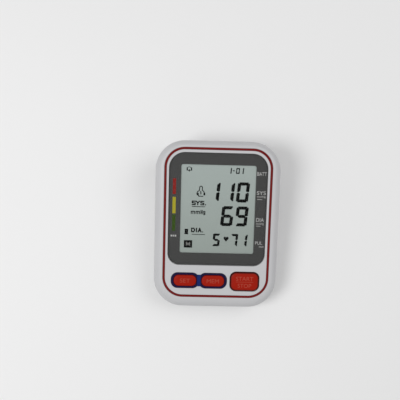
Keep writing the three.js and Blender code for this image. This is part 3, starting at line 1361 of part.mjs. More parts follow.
addPiece(face, 'pressure_sensor', makeSensor(), blackPlastic);

const base = new THREE.Group();
addPiece(base, 'bottom_cover', makeBottomCover(), whitePlastic);
addPiece(base, 'battery_door', makeDoor(), whitePlastic);
signs.forEach((sign) => {
  addPiece(base, `foot_${sign.name}`, makeFoot(sign), darkRubber);
  addPiece(base, `screw_${sign.name}`, makeScrew(sign), steel);
});
for (let cell = 0; cell < CELL_COUNT; cell++) {
  addPiece(base, `cell_${cell + 1}`, makeCell(cell), cellSleeve);
}
contacts.forEach((contact) => addPiece(base, contact.name, makeContact(contact), nickel));

const air = new THREE.Group();
addPiece(air, 'cuff_socket', makeSocket(), blackPlastic);
addPiece(air, 'air_manifold', makeManifold(), blackPlastic);
addPiece(air, 'pump_head', makePumpHead(), blackPlastic);
addPiece(air, 'pump_motor', makeMotor(), steel);
addPiece(air, 'pump_shaft', makeShaft(), steel);
addPiece(air, 'pump_sleeve', makeSleeve(), foam);
addPiece(air, 'release_valve', makeValveBody(), steel);
addPiece(air, 'valve_coil', makeValveCoil(), winding);
addPiece(air, 'valve_plunger', makePlunger(), nickel);
const airPoint = (x, y = AIR_Y) => new THREE.Vector3(x, y, AIR_HEIGHT);
addPiece(air, 'hose_socket', straightHose(
  airPoint(SOCKET_BACK + FIT), airPoint(MANIFOLD_X - MANIFOLD_RADIUS - FIT)), clearHose);
addPiece(air, 'hose_pump', straightHose(
  airPoint(MANIFOLD_X + MANIFOLD_RADIUS + FIT), airPoint(PUMP_HEAD_END - FIT)), clearHose);
addPiece(air, 'hose_valve', straightHose(
  airPoint(MANIFOLD_X, AIR_Y + MANIFOLD_RADIUS + FIT), airPoint(MANIFOLD_X, valveFront - FIT)), clearHose);
addPiece(air, 'hose_sensor', makeSensorHose(), clearHose);
addPiece(air, 'adapter_socket', makeJack(), blackPlastic);

// The finished monitor stands with the middle of its box over the origin.
const monitor = new THREE.Group();
monitor.name = 'blood_pressure_monitor';
monitor.add(face, base, air);
monitor.updateMatrixWorld(true);
const bounds = new THREE.Box3().setFromObject(monitor, true);
const middle = bounds.getCenter(new THREE.Vector3());
monitor.position.set(-middle.x, -middle.y, -bounds.min.z);

export default monitor;
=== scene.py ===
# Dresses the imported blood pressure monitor: fine shells, display, keys, lettering and finishes.
# Pieces on the leaning face are drawn in the face frame, in millimetres: x across, y up the slope
# and z out of the face, from the middle of the ring line. FACE takes them to the shared frame.
import json
import math

import bmesh
import bpy
from mathutils import Matrix, Vector
from mathutils.bvhtree import BVHTree


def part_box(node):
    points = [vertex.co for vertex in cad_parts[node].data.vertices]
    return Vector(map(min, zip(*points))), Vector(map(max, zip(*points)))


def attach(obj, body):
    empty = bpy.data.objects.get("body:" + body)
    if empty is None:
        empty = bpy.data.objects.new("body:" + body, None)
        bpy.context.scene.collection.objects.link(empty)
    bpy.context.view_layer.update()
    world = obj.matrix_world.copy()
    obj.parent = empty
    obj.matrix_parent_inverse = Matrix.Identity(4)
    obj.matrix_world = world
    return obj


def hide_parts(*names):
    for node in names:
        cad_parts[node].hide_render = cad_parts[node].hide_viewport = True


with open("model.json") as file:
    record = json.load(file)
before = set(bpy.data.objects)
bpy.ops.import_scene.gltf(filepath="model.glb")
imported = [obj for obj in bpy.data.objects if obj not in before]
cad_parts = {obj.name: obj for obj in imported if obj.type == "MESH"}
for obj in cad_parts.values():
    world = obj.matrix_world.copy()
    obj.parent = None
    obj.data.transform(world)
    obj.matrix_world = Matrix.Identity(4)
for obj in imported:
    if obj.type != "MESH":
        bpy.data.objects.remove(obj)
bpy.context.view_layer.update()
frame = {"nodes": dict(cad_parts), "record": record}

MM = 0.001
FACE_TILT = math.radians(10)
RING_THICKNESS = 1.0
RING_LINE = 1.9
RING_RADIUS = 17.0

ring_low, ring_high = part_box("trim_ring")
face_turn = Matrix.Rotation(FACE_TILT, 4, "X")
face_middle = (ring_low + ring_high) / 2 + face_turn @ Vector((0, 0, RING_THICKNESS / 2 * MM))
FACE = Matrix.Translation(face_middle) @ face_turn @ Matrix.Scale(MM, 4)


# Camera

CAMERA_AIM = Vector((-15.82, 21.13, 0))
CAMERA_DISTANCE = 529.2
CAMERA_LEAN = math.radians(8.49)  # from the face's normal, towards the top of the display
CAMERA_SIDE = math.radians(1.31)  # towards its left
CAMERA_ROLL = math.radians(1.57)
CAMERA_LENS = 54
SENSOR = 36


def make_camera():
    """Camera at the photograph's viewing angle, aimed at what is in the middle of the photograph."""
    toward = Vector((-math.sin(CAMERA_SIDE), math.sin(CAMERA_LEAN), 0))
    toward.z = math.sqrt(1 - toward.length_squared)
    right = Vector((0, 1, 0)).cross(toward).normalized()
    up = toward.cross(right)
    turn = Matrix((right, up, toward)).transposed().to_4x4()
    data = bpy.data.cameras.new("camera")
    data.lens = CAMERA_LENS
    data.sensor_width = SENSOR
    camera = bpy.data.objects.new("camera", data)
    place = FACE @ (CAMERA_AIM + toward * CAMERA_DISTANCE)
    roll = Matrix.Rotation(CAMERA_ROLL, 4, "Z")
    camera.matrix_world = Matrix.Translation(place) @ face_turn @ turn @ roll
    bpy.context.scene.collection.objects.link(camera)
    bpy.context.scene.camera = camera


make_camera()


# Finishes

MOTTLE_SIZE = 0.03
GLOSS_SPREAD = 0.05
BRUSH_WIDTH = 0.0004
BRUSH_STRETCH = 0.05
BRUSH_DEPTH = 0.00001
BRUSH_SMOOTHER = 0.08
BRUSH_ROUGHER = 0.1
TARNISH_SIZE = 0.004
TARNISH_SHADE = 0.9
CELL_BAND_START = 0.68  # as a share of the cell's length
CELL_BAND_BLUR = 0.0002
TRACK_SCALE = 180
TRACK_WOBBLE = 1.5
TRACK_START = 0.55  # in the wave's height
TRACK_END = 0.6
KEY_RED = (0.320, 0.009, 0.001)
KEY_MOTTLE = 0.06
KEY_EDGE_SHADE_COSINE = 0.8  # of the tilt at which the painted shade on a key's edge is darkest
KEY_UNSHADED_COSINE = 0.993  # of the tilt at which the painted shade ends and the key's own colour begins
NECK_BLEND = 0.6 * MM


class Finish:
    """A procedural material under construction."""

    def __init__(self, name):
        self.material = bpy.data.materials.new(name)
        self.material.use_nodes = True
        self.nodes = self.material.node_tree.nodes
        self.links = self.material.node_tree.links
        self.shader = self.nodes["Principled BSDF"]
        self.place = self.nodes.new("ShaderNodeTexCoord").outputs["Object"]

    def set(self, **values):
        """Sets the shader's own sockets. An underscore stands for a space in a socket's name."""
        for name, value in values.items():
            self.shader.inputs[name.replace("_", " ")].default_value = value

    def along(self, axis):
        """How far the surface lies along an axis, in metres."""
        axes = self.nodes.new("ShaderNodeSeparateXYZ")
        self.links.new(self.place, axes.inputs["Vector"])
        return axes.outputs[axis]

    def noise(self, size, detail=2.0, stretch=(1, 1, 1)):
        """Noise whose blotches are about size metres across."""
        mapping = self.nodes.new("ShaderNodeMapping")
        mapping.inputs["Scale"].default_value = stretch
        self.links.new(self.place, mapping.inputs["Vector"])
        noise = self.nodes.new("ShaderNodeTexNoise")
        noise.inputs["Scale"].default_value = 1 / size
        noise.inputs["Detail"].default_value = detail
        self.links.new(mapping.outputs["Vector"], noise.inputs["Vector"])
        return noise.outputs["Fac"]

    def spread(self, value, low, high, start=0.3, end=0.7):
        """A value from start to end, spread from low to high. Noise is mostly from 0.3 to 0.7."""
        spread = self.nodes.new("ShaderNodeMapRange")
        spread.inputs["From Min"].default_value = start
        spread.inputs["From Max"].default_value = end
        spread.inputs["To Min"].default_value = low
        spread.inputs["To Max"].default_value = high
        self.links.new(value, spread.inputs["Value"])
        return spread.outputs["Result"]

    def blend(self, value, first, second):
        """A colour between two, each a colour or the output of another node."""
        mix = self.nodes.new("ShaderNodeMix")
        mix.data_type = "RGBA"
        self.links.new(value, mix.inputs["Factor"])
        for socket, colour in (("A", first), ("B", second)):
            target = [i for i in mix.inputs if i.name == socket and i.type == "RGBA"][0]
            if isinstance(colour, bpy.types.NodeSocket):
                self.links.new(colour, target)
            else:
                target.default_value = (*colour, 1)
        return [o for o in mix.outputs if o.type == "RGBA"][0]

    def colour(self, output):
        self.links.new(output, self.shader.inputs["Base Color"])

    def roughness(self, output):
        self.links.new(output, self.shader.inputs["Roughness"])

    def bump(self, height, depth):
        """Relief from a height between 0 and 1, as deep as depth in metres."""
        bump = self.nodes.new("ShaderNodeBump")
        bump.inputs["Distance"].default_value = depth
        bump.inputs["Strength"].default_value = 1
        self.links.new(height, bump.inputs["Height"])
        self.links.new(bump.outputs["Normal"], self.shader.inputs["Normal"])


def shade(colour, factor):
    """A colour made darker or lighter by a factor."""
    return tuple(channel * factor for channel in colour)


def moulded(name, colour, roughness, grain, depth, mottle=0.04, **values):
    """Moulded or coated surface: slow mottling of its colour and gloss over a fine grain.

    The grain's size and its depth are in metres.
    """
    finish = Finish(name)
    patches = finish.noise(MOTTLE_SIZE, detail=4)
    finish.colour(finish.blend(patches, shade(colour, 1 - mottle), shade(colour, 1 + mottle)))
    finish.roughness(finish.spread(patches, roughness - GLOSS_SPREAD, roughness + GLOSS_SPREAD))
    finish.bump(finish.noise(grain, detail=3), depth)
    finish.set(**values)
    return finish.material


def brushed(name, colour, roughness, along):
    """Metal with fine lines along one axis."""
    finish = Finish(name)
    stretch = [1.0, 1.0, 1.0]
    stretch["XYZ".index(along)] = BRUSH_STRETCH
    lines = finish.noise(BRUSH_WIDTH, detail=3, stretch=stretch)
    patches = finish.noise(TARNISH_SIZE, detail=2)
    finish.colour(finish.blend(patches, shade(colour, TARNISH_SHADE), colour))
    finish.roughness(finish.spread(lines, roughness - BRUSH_SMOOTHER, roughness + BRUSH_ROUGHER))
    finish.bump(lines, BRUSH_DEPTH)
    finish.set(Metallic=1.0)
    return finish.material


def casing_finish():
    """White casing: fine eroded mould texture with a faint cool mottling."""
    finish = Finish("white_casing")
    patches = finish.noise(0.05, detail=5)
    finish.colour(finish.blend(patches, (0.515, 0.516, 0.530), (0.545, 0.545, 0.555)))
    grain = finish.noise(0.00035, detail=3)
    finish.roughness(finish.spread(grain, 0.42, 0.56))
    finish.bump(grain, 0.000018)
    return finish.material


def clear_finish():
    """Clear acrylic that lets the light through and keeps a faint reflection."""
    finish = Finish("clear_panel")
    haze = finish.noise(0.012, detail=6)
    finish.colour(finish.blend(haze, (0.03, 0.032, 0.032), (0.045, 0.047, 0.047)))
    finish.roughness(finish.spread(haze, 0.04, 0.09))
    finish.set(Alpha=0.05)
    return finish.material


def lcd_finish():
    """Grey-green polariser, a little lighter at the top, with a fine horizontal grain."""
    finish = Finish("lcd_polariser")
    low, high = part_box("display_glass")
    height = finish.spread(finish.along("Y"), 0.0, 1.0, start=low.y, end=high.y)
    slope = finish.blend(height, (0.330, 0.378, 0.348), (0.425, 0.488, 0.465))
    patches = finish.spread(finish.noise(0.02, detail=4), 0.0, 0.25)
    finish.colour(finish.blend(patches, slope, (0.36, 0.415, 0.39)))
    finish.roughness(finish.spread(finish.noise(0.0006, stretch=(0.1, 1, 1)), 0.30, 0.42))
    finish.bump(finish.noise(0.0004), 0.000004)
    return finish.material


def cell_finish():
    """Printed sleeve of a cell: dark blue, with a pale band towards one end."""
    finish = Finish("cell_sleeve")
    low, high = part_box("cell_1")
    start = low.x + CELL_BAND_START * (high.x - low.x)
    band = finish.spread(finish.along("X"), 0.0, 1.0, start=start, end=start + CELL_BAND_BLUR)
    patches = finish.noise(0.006, detail=3)
    body = finish.blend(patches, (0.018, 0.045, 0.13), (0.024, 0.06, 0.16))
    finish.colour(finish.blend(band, body, (0.42, 0.44, 0.46)))
    finish.roughness(finish.spread(patches, 0.22, 0.32))
    finish.bump(finish.noise(0.001), 0.000006)
    return finish.material


def board_finish():
    """Green solder mask with fine conductor lines under it."""
    finish = Finish("green_board")
    lines = finish.nodes.new("ShaderNodeTexWave")
    lines.inputs["Scale"].default_value = TRACK_SCALE
    lines.inputs["Distortion"].default_value = TRACK_WOBBLE
    finish.links.new(finish.place, lines.inputs["Vector"])
    track = finish.spread(lines.outputs["Fac"], 0.0, 1.0, start=TRACK_START, end=TRACK_END)
    finish.colour(finish.blend(track, (0.012, 0.085, 0.03), (0.02, 0.13, 0.045)))
    finish.roughness(finish.spread(finish.noise(0.002), 0.25, 0.35))
    finish.bump(track, 0.00003)
    return finish.material


def key_finish(name, edge_shade):
    """Red key with painted shade on its edge: where its surface turns down at the edge, its colour falls
    to the share that is given.
    """
    finish = Finish(name)
    patches = finish.noise(0.01, detail=4)
    red = finish.blend(patches, shade(KEY_RED, 1 - KEY_MOTTLE), shade(KEY_RED, 1 + KEY_MOTTLE))
    normal = finish.nodes.new("ShaderNodeNewGeometry").outputs["Normal"]
    upright = finish.nodes.new("ShaderNodeVectorMath")
    upright.operation = "DOT_PRODUCT"
    upright.inputs[1].default_value = face_turn @ Vector((0, 0, 1))
    finish.links.new(normal, upright.inputs[0])
    # painted shade: darker where the surface turns away from the face, standing in for the shadow in the
    # gap round the key
    unshaded = finish.spread(
        upright.outputs["Value"], 0.0, 1.0, start=KEY_EDGE_SHADE_COSINE, end=KEY_UNSHADED_COSINE)
    finish.colour(finish.blend(unshaded, shade(KEY_RED, edge_shade), red))
    finish.roughness(finish.spread(patches, 0.36, 0.46))
    finish.bump(finish.noise(0.0003, detail=3), 0.00001)
    finish.set(Specular_IOR_Level=0.12)
    return finish.material


def surround_finish():
    """Blue coating, brighter on the neck between the two lobes; the deep navy on the lobes is painted
    shade from the gaps round the keys and the casing.
    """
    finish = Finish("blue_trim")
    across = finish.along("X")
    neck_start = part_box("set_button")[1].x
    neck_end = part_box("mem_button")[0].x
    # masks of the painted shade on the two lobes, fading in over NECK_BLEND beyond the neck
    lobes = [
        finish.spread(across, 0.0, 1.0, start=edge, end=edge + outward * NECK_BLEND)
        for edge, outward in ((neck_start, -1), (neck_end, 1))
    ]
    both = finish.nodes.new("ShaderNodeMath")
    both.operation = "ADD"
    both.use_clamp = True
    for shade_mask, socket in zip(lobes, both.inputs):
        finish.links.new(shade_mask, socket)
    patches = finish.noise(0.03, detail=4)
    # painted shade: deep navy on the lobes, where the shadows of the gaps round the keys and the casing
    # fall
    deep = finish.blend(patches, (0.0065, 0.0018, 0.030), (0.0082, 0.0023, 0.036))
    finish.colour(finish.blend(both.outputs["Value"], (0.004, 0.017, 0.12), deep))
    finish.roughness(finish.spread(patches, 0.28, 0.38))
    finish.bump(finish.noise(0.0005, detail=3), 0.000008)
    finish.set(Specular_IOR_Level=0.15)
    return finish.material


def floor_finish():
    """Matt pale floor with faint mottling."""
    finish = Finish("floor")
    patches = finish.noise(0.25, detail=3)
    finish.colour(finish.blend(patches, (0.84, 0.84, 0.84), (0.87, 0.87, 0.87)))
    finish.roughness(finish.spread(patches, 0.75, 0.9))
    return finish.material


FINISHES = {
    "white_casing": casing_finish(),
    "clear_panel": clear_finish(),
    "display_glass": lcd_finish(),
    "cell_sleeve": cell_finish(),
    "green_board": board_finish(),
    "red_trim": moulded("red_trim", (0.150, 0.0035, 0.003), 0.34, 0.0006, 0.000008, mottle=0.1,
                        Specular_IOR_Level=0.2),
    "grey_mask": moulded("grey_mask", (0.045, 0.045, 0.044), 0.5, 0.0003, 0.00001, mottle=0.06,
                         Specular_IOR_Level=0.3),
    # painted shade on the keys' edges, at nine tenths of their colour
    "red_key": key_finish("red_key", 0.9),
    "blue_trim": surround_finish(),
    "black_plastic": moulded("black_plastic", (0.018, 0.018, 0.02), 0.42, 0.0003, 0.000015),
    "grey_rubber": moulded("grey_rubber", (0.27, 0.28, 0.29), 0.8, 0.0004, 0.00002),
    "dark_rubber": moulded("dark_rubber", (0.024, 0.024, 0.026), 0.75, 0.0004, 0.00004, mottle=0.15),
    "clear_hose": moulded("clear_hose", (0.62, 0.64, 0.64), 0.35, 0.002, 0.00001,
                          Subsurface_Weight=0.3),
    "foam": moulded("foam", (0.045, 0.045, 0.048), 0.9, 0.0007, 0.0002, mottle=0.2),
    "copper_winding": brushed("copper_winding", (0.55, 0.16, 0.05), 0.35, "X"),
    "steel": brushed("steel", (0.52, 0.53, 0.55), 0.32, "X"),
    "nickel": brushed("nickel", (0.64, 0.65, 0.63), 0.28, "Y"),
}
# start key: its edge darkened to about a sixth of its colour, painted shade for the dark line round it
START_KEY_SHADED_EDGE = key_finish("start_key_shaded_edge", 0.16)
LCD_INK = moulded("lcd_ink", (0.002, 0.0026, 0.0023), 0.5, 0.0005, 0.000004, mottle=0.2,
                  Specular_IOR_Level=0.03)
LCD_GREY = moulded("lcd_grey", (0.24, 0.24, 0.23), 0.5, 0.0005, 0.000004, Specular_IOR_Level=0.1)
PALE_PRINT = moulded("pale_print", (0.52, 0.52, 0.51), 0.5, 0.0003, 0.000004)
KEY_PRINT = moulded("key_print", (0.40, 0.062, 0.038), 0.5, 0.0003, 0.000004,
                    Specular_IOR_Level=0.15)
RED_PRINT = moulded("red_print", (0.26, 0.012, 0.008), 0.5, 0.0003, 0.000004,
                    Specular_IOR_Level=0.15)
YELLOW_PRINT = moulded("yellow_print", (0.43, 0.38, 0.02), 0.5, 0.0003, 0.000004,
                       Specular_IOR_Level=0.15)
GREEN_PRINT = moulded("green_print", (0.032, 0.076, 0.002), 0.5, 0.0003, 0.000004,
                      Specular_IOR_Level=0.15)
CELL_END = brushed("cell_end", (0.62, 0.62, 0.60), 0.25, "Y")

# Every node of the solids gets its finish, also the nodes that nothing replaces.
for row in frame["record"]["subparts"]:
    cad_mesh = frame["nodes"][row["node"]].data
    cad_mesh.materials.clear()
    cad_mesh.materials.append(FINISHES[row["material_slot"]])


# Mesh building

SHARP = math.radians(35)  # between two faces whose edge isn't smoothed
CORNER_STEPS = 20
KEY_STEPS = 12
EDGE_STEPS = 4
SMALLEST_RADIUS = 0.05
WELD = 0.001
NORMAL_WEIGHT = 100  # the highest, so that large faces decide how the edges are shaded


def lofted(rows, loop=False):
    """Skin over rows of equally many points, capped at both ends unless it runs round in a loop."""
    mesh = bmesh.new()
    rings = [[mesh.verts.new(point) for point in row] for row in rows]
    count = len(rings[0])
    upper = rings[1:] + rings[:1] if loop else rings[1:]
    for low, high in zip(rings, upper):
        for i in range(count):
            j = (i + 1) % count
            mesh.faces.new((low[i], low[j], high[j], high[i]))
    if not loop:
        mesh.faces.new(rings[0][::-1])
        mesh.faces.new(rings[-1])
    bmesh.ops.recalc_face_normals(mesh, faces=mesh.faces)
    return mesh


def rounded(low, high, radius, front_radius=None, steps=CORNER_STEPS):
    """Outline of a rounded rectangle, as a function of how far it is grown."""
    front = radius if front_radius is None else front_radius
    corners = ((1, 1, radius), (-1, 1, radius), (-1, -1, front), (1, -1, front))

    def points(grow=0.0):
        outline = []
        for corner, (side_x, side_y, r) in enumerate(corners):
            r = max(r + grow, SMALLEST_RADIUS)
            x = (high[0] + grow - r) if side_x > 0 else (low[0] - grow + r)
            y = (high[1] + grow - r) if side_y > 0 else (low[1] - grow + r)
            for step in range(steps + 1):
                angle = (corner + step / steps) * math.pi / 2
                outline.append((x + r * math.cos(angle), y + r * math.sin(angle)))
        return outline

    return points


def rows_of(outline, profile):
    """Rows of an outline for a profile of (growth, height) pairs."""
    return [[(x, y, height) for x, y in outline(grow)] for grow, height in profile]


def rounding(grow, height, radius, inward=True, steps=EDGE_STEPS):
    """Profile pairs of a rounded upper edge, from the side up to the top.

    An inward rounding is a body's edge, and one that isn't is the mouth of a hollow.
    """
    pairs = []
    for step in range(steps + 1):
        angle = step / steps * math.pi / 2
        out = radius * (1 - math.cos(angle))
        pairs.append((grow - out if inward else grow + out, height - radius * (1 - math.sin(angle))))
    return pairs


def linked(name, mesh):
    """An object in the scene, from a bmesh that is freed."""
    data = bpy.data.meshes.new(name)
    mesh.to_mesh(data)
    mesh.free()
    item = bpy.data.objects.new(name, data)
    bpy.context.scene.collection.objects.link(item)
    return item


def combined(body, others, operation):
    """A bmesh with other bmeshes cut from it (DIFFERENCE) or joined to it (UNION)."""
    item = linked("body", body)
    tools = [linked("tool", other) for other in others]
    for tool in tools:
        step = item.modifiers.new("step", "BOOLEAN")
        step.operation = operation
        step.solver = "EXACT"
        step.object = tool
    bpy.context.view_layer.update()
    scene_now = bpy.context.evaluated_depsgraph_get()
    baked = bpy.data.meshes.new_from_object(item.evaluated_get(scene_now))
    result = bmesh.new()
    result.from_mesh(baked)
    bmesh.ops.remove_doubles(result, verts=result.verts, dist=WELD)
    for used in (item, *tools):
        bpy.data.objects.remove(used)
    return result


def add(name, mesh, material, body, replaces=(), matrix=FACE, weighted=True):
    """Turns a bmesh into a piece that rides on a body, its matrix taking it to the shared frame."""
    for face in mesh.faces:
        face.smooth = True
    for edge in mesh.edges:
        edge.smooth = len(edge.link_faces) == 2 and edge.calc_face_angle(0) < SHARP
    piece = linked(name, mesh)
    piece.data.transform(matrix)
    piece.data.materials.append(material)
    if weighted:
        normals = piece.modifiers.new("normals", "WEIGHTED_NORMAL")
        normals.keep_sharp = True
        normals.weight = NORMAL_WEIGHT
    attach(piece, body)
    if replaces:
        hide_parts(*replaces)
    return piece


def face_box(node):
    """Lowest and highest corners of a CAD node in the face frame, in millimetres."""
    back = FACE.inverted()
    points = [back @ vertex.co for vertex in frame["nodes"][node].data.vertices]
    low = Vector([min(point[i] for point in points) for i in range(3)])
    high = Vector([max(point[i] for point in points) for i in range(3)])
    return low, high


# Upper casing

FIT = 0.3  # clearance round a piece in the casing
THIN_FIT = 0.15  # round one that lies in the face
WALL = 2.5
FACE_LAND = 1.6
SHOULDER_WIDTH = 7.7
SHOULDER_DEPTH = 12.0
SHOULDER_LEAN = 3.2  # how far the whole side stands forward of the ring line
SHOULDER_STEPS = 16
PARTING_DEPTH = 14.0
MOUTH_ROUND = 0.25
ABOVE = 2.0  # how far a cutter stands out of the casing
BEYOND = 1.0  # how far one stands out of another piece, and a ray starts over a key
PANEL_SPREAD = Vector((0.25, 0.25))  # how much larger the panel is than its solid on each side
PANEL_BACK_RADIUS = 14.0
PANEL_FRONT_RADIUS = 10.5
KEY_FLANGE_WIDTH = 1.1
KEY_CROWN = 0.35
SURROUND_BORDER = 2.15
LOBE_STRETCH = Vector((0.2, -0.1))  # how much wider the border is across and up the face
LOBE_RADIUS = 3.8  # before the border is added
SURROUND_NECK = 10.4
NECK_CORNER = 0.1
GLASS_RADIUS = 1.0

low, high = face_box("trim_ring")
half_line = RING_LINE / 2
ring_outline = rounded(
    low.xy + Vector((half_line, half_line)), high.xy - Vector((half_line, half_line)), RING_RADIUS)

panel_low, panel_high = face_box("display_panel")
panel_outline = rounded(
    panel_low.xy - PANEL_SPREAD, panel_high.xy + PANEL_SPREAD, PANEL_BACK_RADIUS, PANEL_FRONT_RADIUS)

glass_low, glass_high = face_box("display_glass")
glass_outline = rounded(glass_low.xy, glass_high.xy, GLASS_RADIUS)

surround_low, surround_high = face_box("key_surround")
mask_low, mask_high = face_box("display_mask")

KEYS = {
    "set": {"radius": 4.6, "edge": 0.8},
    "mem": {"radius": 4.6, "edge": 0.8},
    "start_stop": {"radius": 5.6, "edge": 2.2},
}
for key_name, key in KEYS.items():  # the outline of a cap leaves out the flange round its foot
    low, high = face_box(f"{key_name}_button")
    flange = Vector((KEY_FLANGE_WIDTH, KEY_FLANGE_WIDTH))
    key["low"], key["high"] = low.xy + flange, high.xy - flange
    key["bottom"], key["top"] = low.z, high.z
    key["middle"] = (key["low"] + key["high"]) / 2
    key["outline"] = rounded(key["low"], key["high"], key["radius"], steps=KEY_STEPS)


def surround_parts(grow, profile_of):
    """The surround's two lobes and the neck between them, each lofted along its own profile."""
    parts = []
    for key_name in ("set", "mem"):
        key = KEYS[key_name]
        outline = rounded(
            key["low"] - LOBE_STRETCH, key["high"] + LOBE_STRETCH, LOBE_RADIUS, steps=KEY_STEPS)
        parts.append(lofted(rows_of(outline, profile_of(SURROUND_BORDER + grow))))
    left, right = KEYS["set"]["middle"], KEYS["mem"]["middle"]
    neck_half = SURROUND_NECK / 2
    neck = rounded(
        (left.x, left.y - neck_half), (right.x, right.y + neck_half), NECK_CORNER, steps=1)
    parts.append(lofted(rows_of(neck, profile_of(grow))))
    return parts


def shoulder(wall, steps):
    """Casing's side and shoulder up to the face, as (growth, height, shift forward) triples."""
    profile = []
    for step in range(steps + 1):
        angle = (1 - step / steps) * math.pi / 2
        grow = FACE_LAND + SHOULDER_WIDTH * math.sin(angle) - wall
        height = -wall - (SHOULDER_DEPTH - wall) * (1 - math.cos(angle))
        profile.append((grow, height, SHOULDER_LEAN * math.sin(angle)))
    return profile


def leaning_rows(profile):
    """Rows of the ring line's outline for a shoulder's profile."""
    return [
        [(x, y - forward, height) for x, y in ring_outline(grow)]
        for grow, height, forward in profile
    ]


def make_upper_shell():
    """White upper shell with its wall's thickness, and the hollows for all that its face carries."""
    side = FACE_LAND + SHOULDER_WIDTH
    outer = lofted(leaning_rows([
        (side - MOUTH_ROUND, -PARTING_DEPTH, SHOULDER_LEAN),
        (side, -PARTING_DEPTH + MOUTH_ROUND, SHOULDER_LEAN),
        *shoulder(0, SHOULDER_STEPS),
    ]))
    inner = lofted(leaning_rows([
        (side - WALL, -PARTING_DEPTH - ABOVE, SHOULDER_LEAN),
        *shoulder(WALL, SHOULDER_STEPS // 2),
    ]))

    def mouth(grow, floor):
        """Profile of a hollow from its floor up to a rounded mouth."""
        return [(grow, floor), *rounding(grow, 0, MOUTH_ROUND, inward=False), (grow + MOUTH_ROUND, ABOVE)]

    groove_side = mouth(half_line + THIN_FIT, -RING_THICKNESS - FIT)
    groove = lofted(rows_of(ring_outline, [
        *groove_side, *[(-grow, height) for grow, height in reversed(groove_side)],
    ]), loop=True)
    pocket_floor = mask_low.z - FIT
    cutters = [
        inner,
        groove,
        lofted(rows_of(panel_outline, mouth(THIN_FIT, pocket_floor))),
        lofted(rows_of(glass_outline, [(FIT, -PARTING_DEPTH), (FIT, ABOVE)])),
        *surround_parts(THIN_FIT, lambda grow: mouth(grow, surround_low.z - FIT)),
        *[lofted(rows_of(key["outline"], mouth(FIT, -PARTING_DEPTH))) for key in KEYS.values()],
    ]
    shell = combined(outer, cutters, "DIFFERENCE")
    add("upper_shell", shell, FINISHES["white_casing"], "casing", ["top_cover"])


def make_ring():
    """The red ring line, its upper edges rounded over."""
    side = rounding(half_line, 0, MOUTH_ROUND)
    profile = [(half_line, -RING_THICKNESS), *side]
    profile += [(-grow, height) for grow, height in reversed(profile)]
    mesh = lofted(rows_of(ring_outline, profile), loop=True)
    add("ring_line", mesh, FINISHES["red_trim"], "casing", ["trim_ring"])


make_upper_shell()
make_ring()


# Display

WINDOW_LOW = Vector((-32.9, -27.1))
WINDOW_HIGH = Vector((33.3, 52.3))
WINDOW_RADIUS = 1.8
GLASS_CHAMFER = 0.1
INK_THICKNESS = 0.04
PRINT_THICKNESS = 0.04


def make_panel():
    """Clear panel over the mask and the window."""
    profile = [(0, panel_low.z), *rounding(0, panel_high.z, MOUTH_ROUND)]
    mesh = lofted(rows_of(panel_outline, profile))
    add("window_panel", mesh, FINISHES["clear_panel"], "casing", ["display_panel"])


def make_mask():
    """Printed mask: a frame between the panel's outline and the window's."""
    window = rounded(WINDOW_LOW, WINDOW_HIGH, WINDOW_RADIUS)
    rows = [
        *rows_of(panel_outline, [(0, mask_low.z), (0, mask_high.z)]),
        *rows_of(window, [(0, mask_high.z), (0, mask_low.z)]),
    ]
    mesh = lofted(rows, loop=True)
    add("printed_mask", mesh, FINISHES["grey_mask"], "casing", ["display_mask"])


def make_lcd():
    """Liquid crystal pane, its upper edge chamfered."""
    profile = [
        (0, glass_low.z), (0, glass_high.z - GLASS_CHAMFER), (-GLASS_CHAMFER, glass_high.z),
    ]
    mesh = lofted(rows_of(glass_outline, profile))
    add("lcd_pane", mesh, FINISHES["display_glass"], "casing", ["display_glass"])


make_panel()
make_mask()
make_lcd()


# Strokes of the display's lettering. A letter without a riser or a tail fills the square from 0 to 1.
LETTERS = {
    "S": [[(1, 1), (0, 1), (0, 0.55), (1, 0.45), (1, 0), (0, 0)]],
    "Y": [[(0, 1), (0.5, 0.5), (1, 1)], [(0.5, 0.5), (0.5, 0)]],
    "D": [[(0, 0), (0, 1), (0.65, 1), (1, 0.7), (1, 0.3), (0.65, 0), (0, 0)]],
    "I": [[(0, 0), (0, 1)]],
    "A": [[(0, 0), (0.5, 1), (1, 0)], [(0.25, 0.3), (0.75, 0.3)]],
    "M": [[(0, 0), (0, 1), (0.5, 0.1), (1, 1), (1, 0)]],
    "m": [[(0, 0), (0, 1), (1, 1), (1, 0)], [(0.5, 1), (0.5, 0)]],
    "H": [[(0, 0), (0, 1.4)], [(0, 0.7), (1, 0.7)], [(1, 0), (1, 1.4)]],
    "g": [[(1, 1), (0, 1), (0, 0.2), (1, 0.2)], [(1, 1), (1, -0.4), (0, -0.4)]],
}


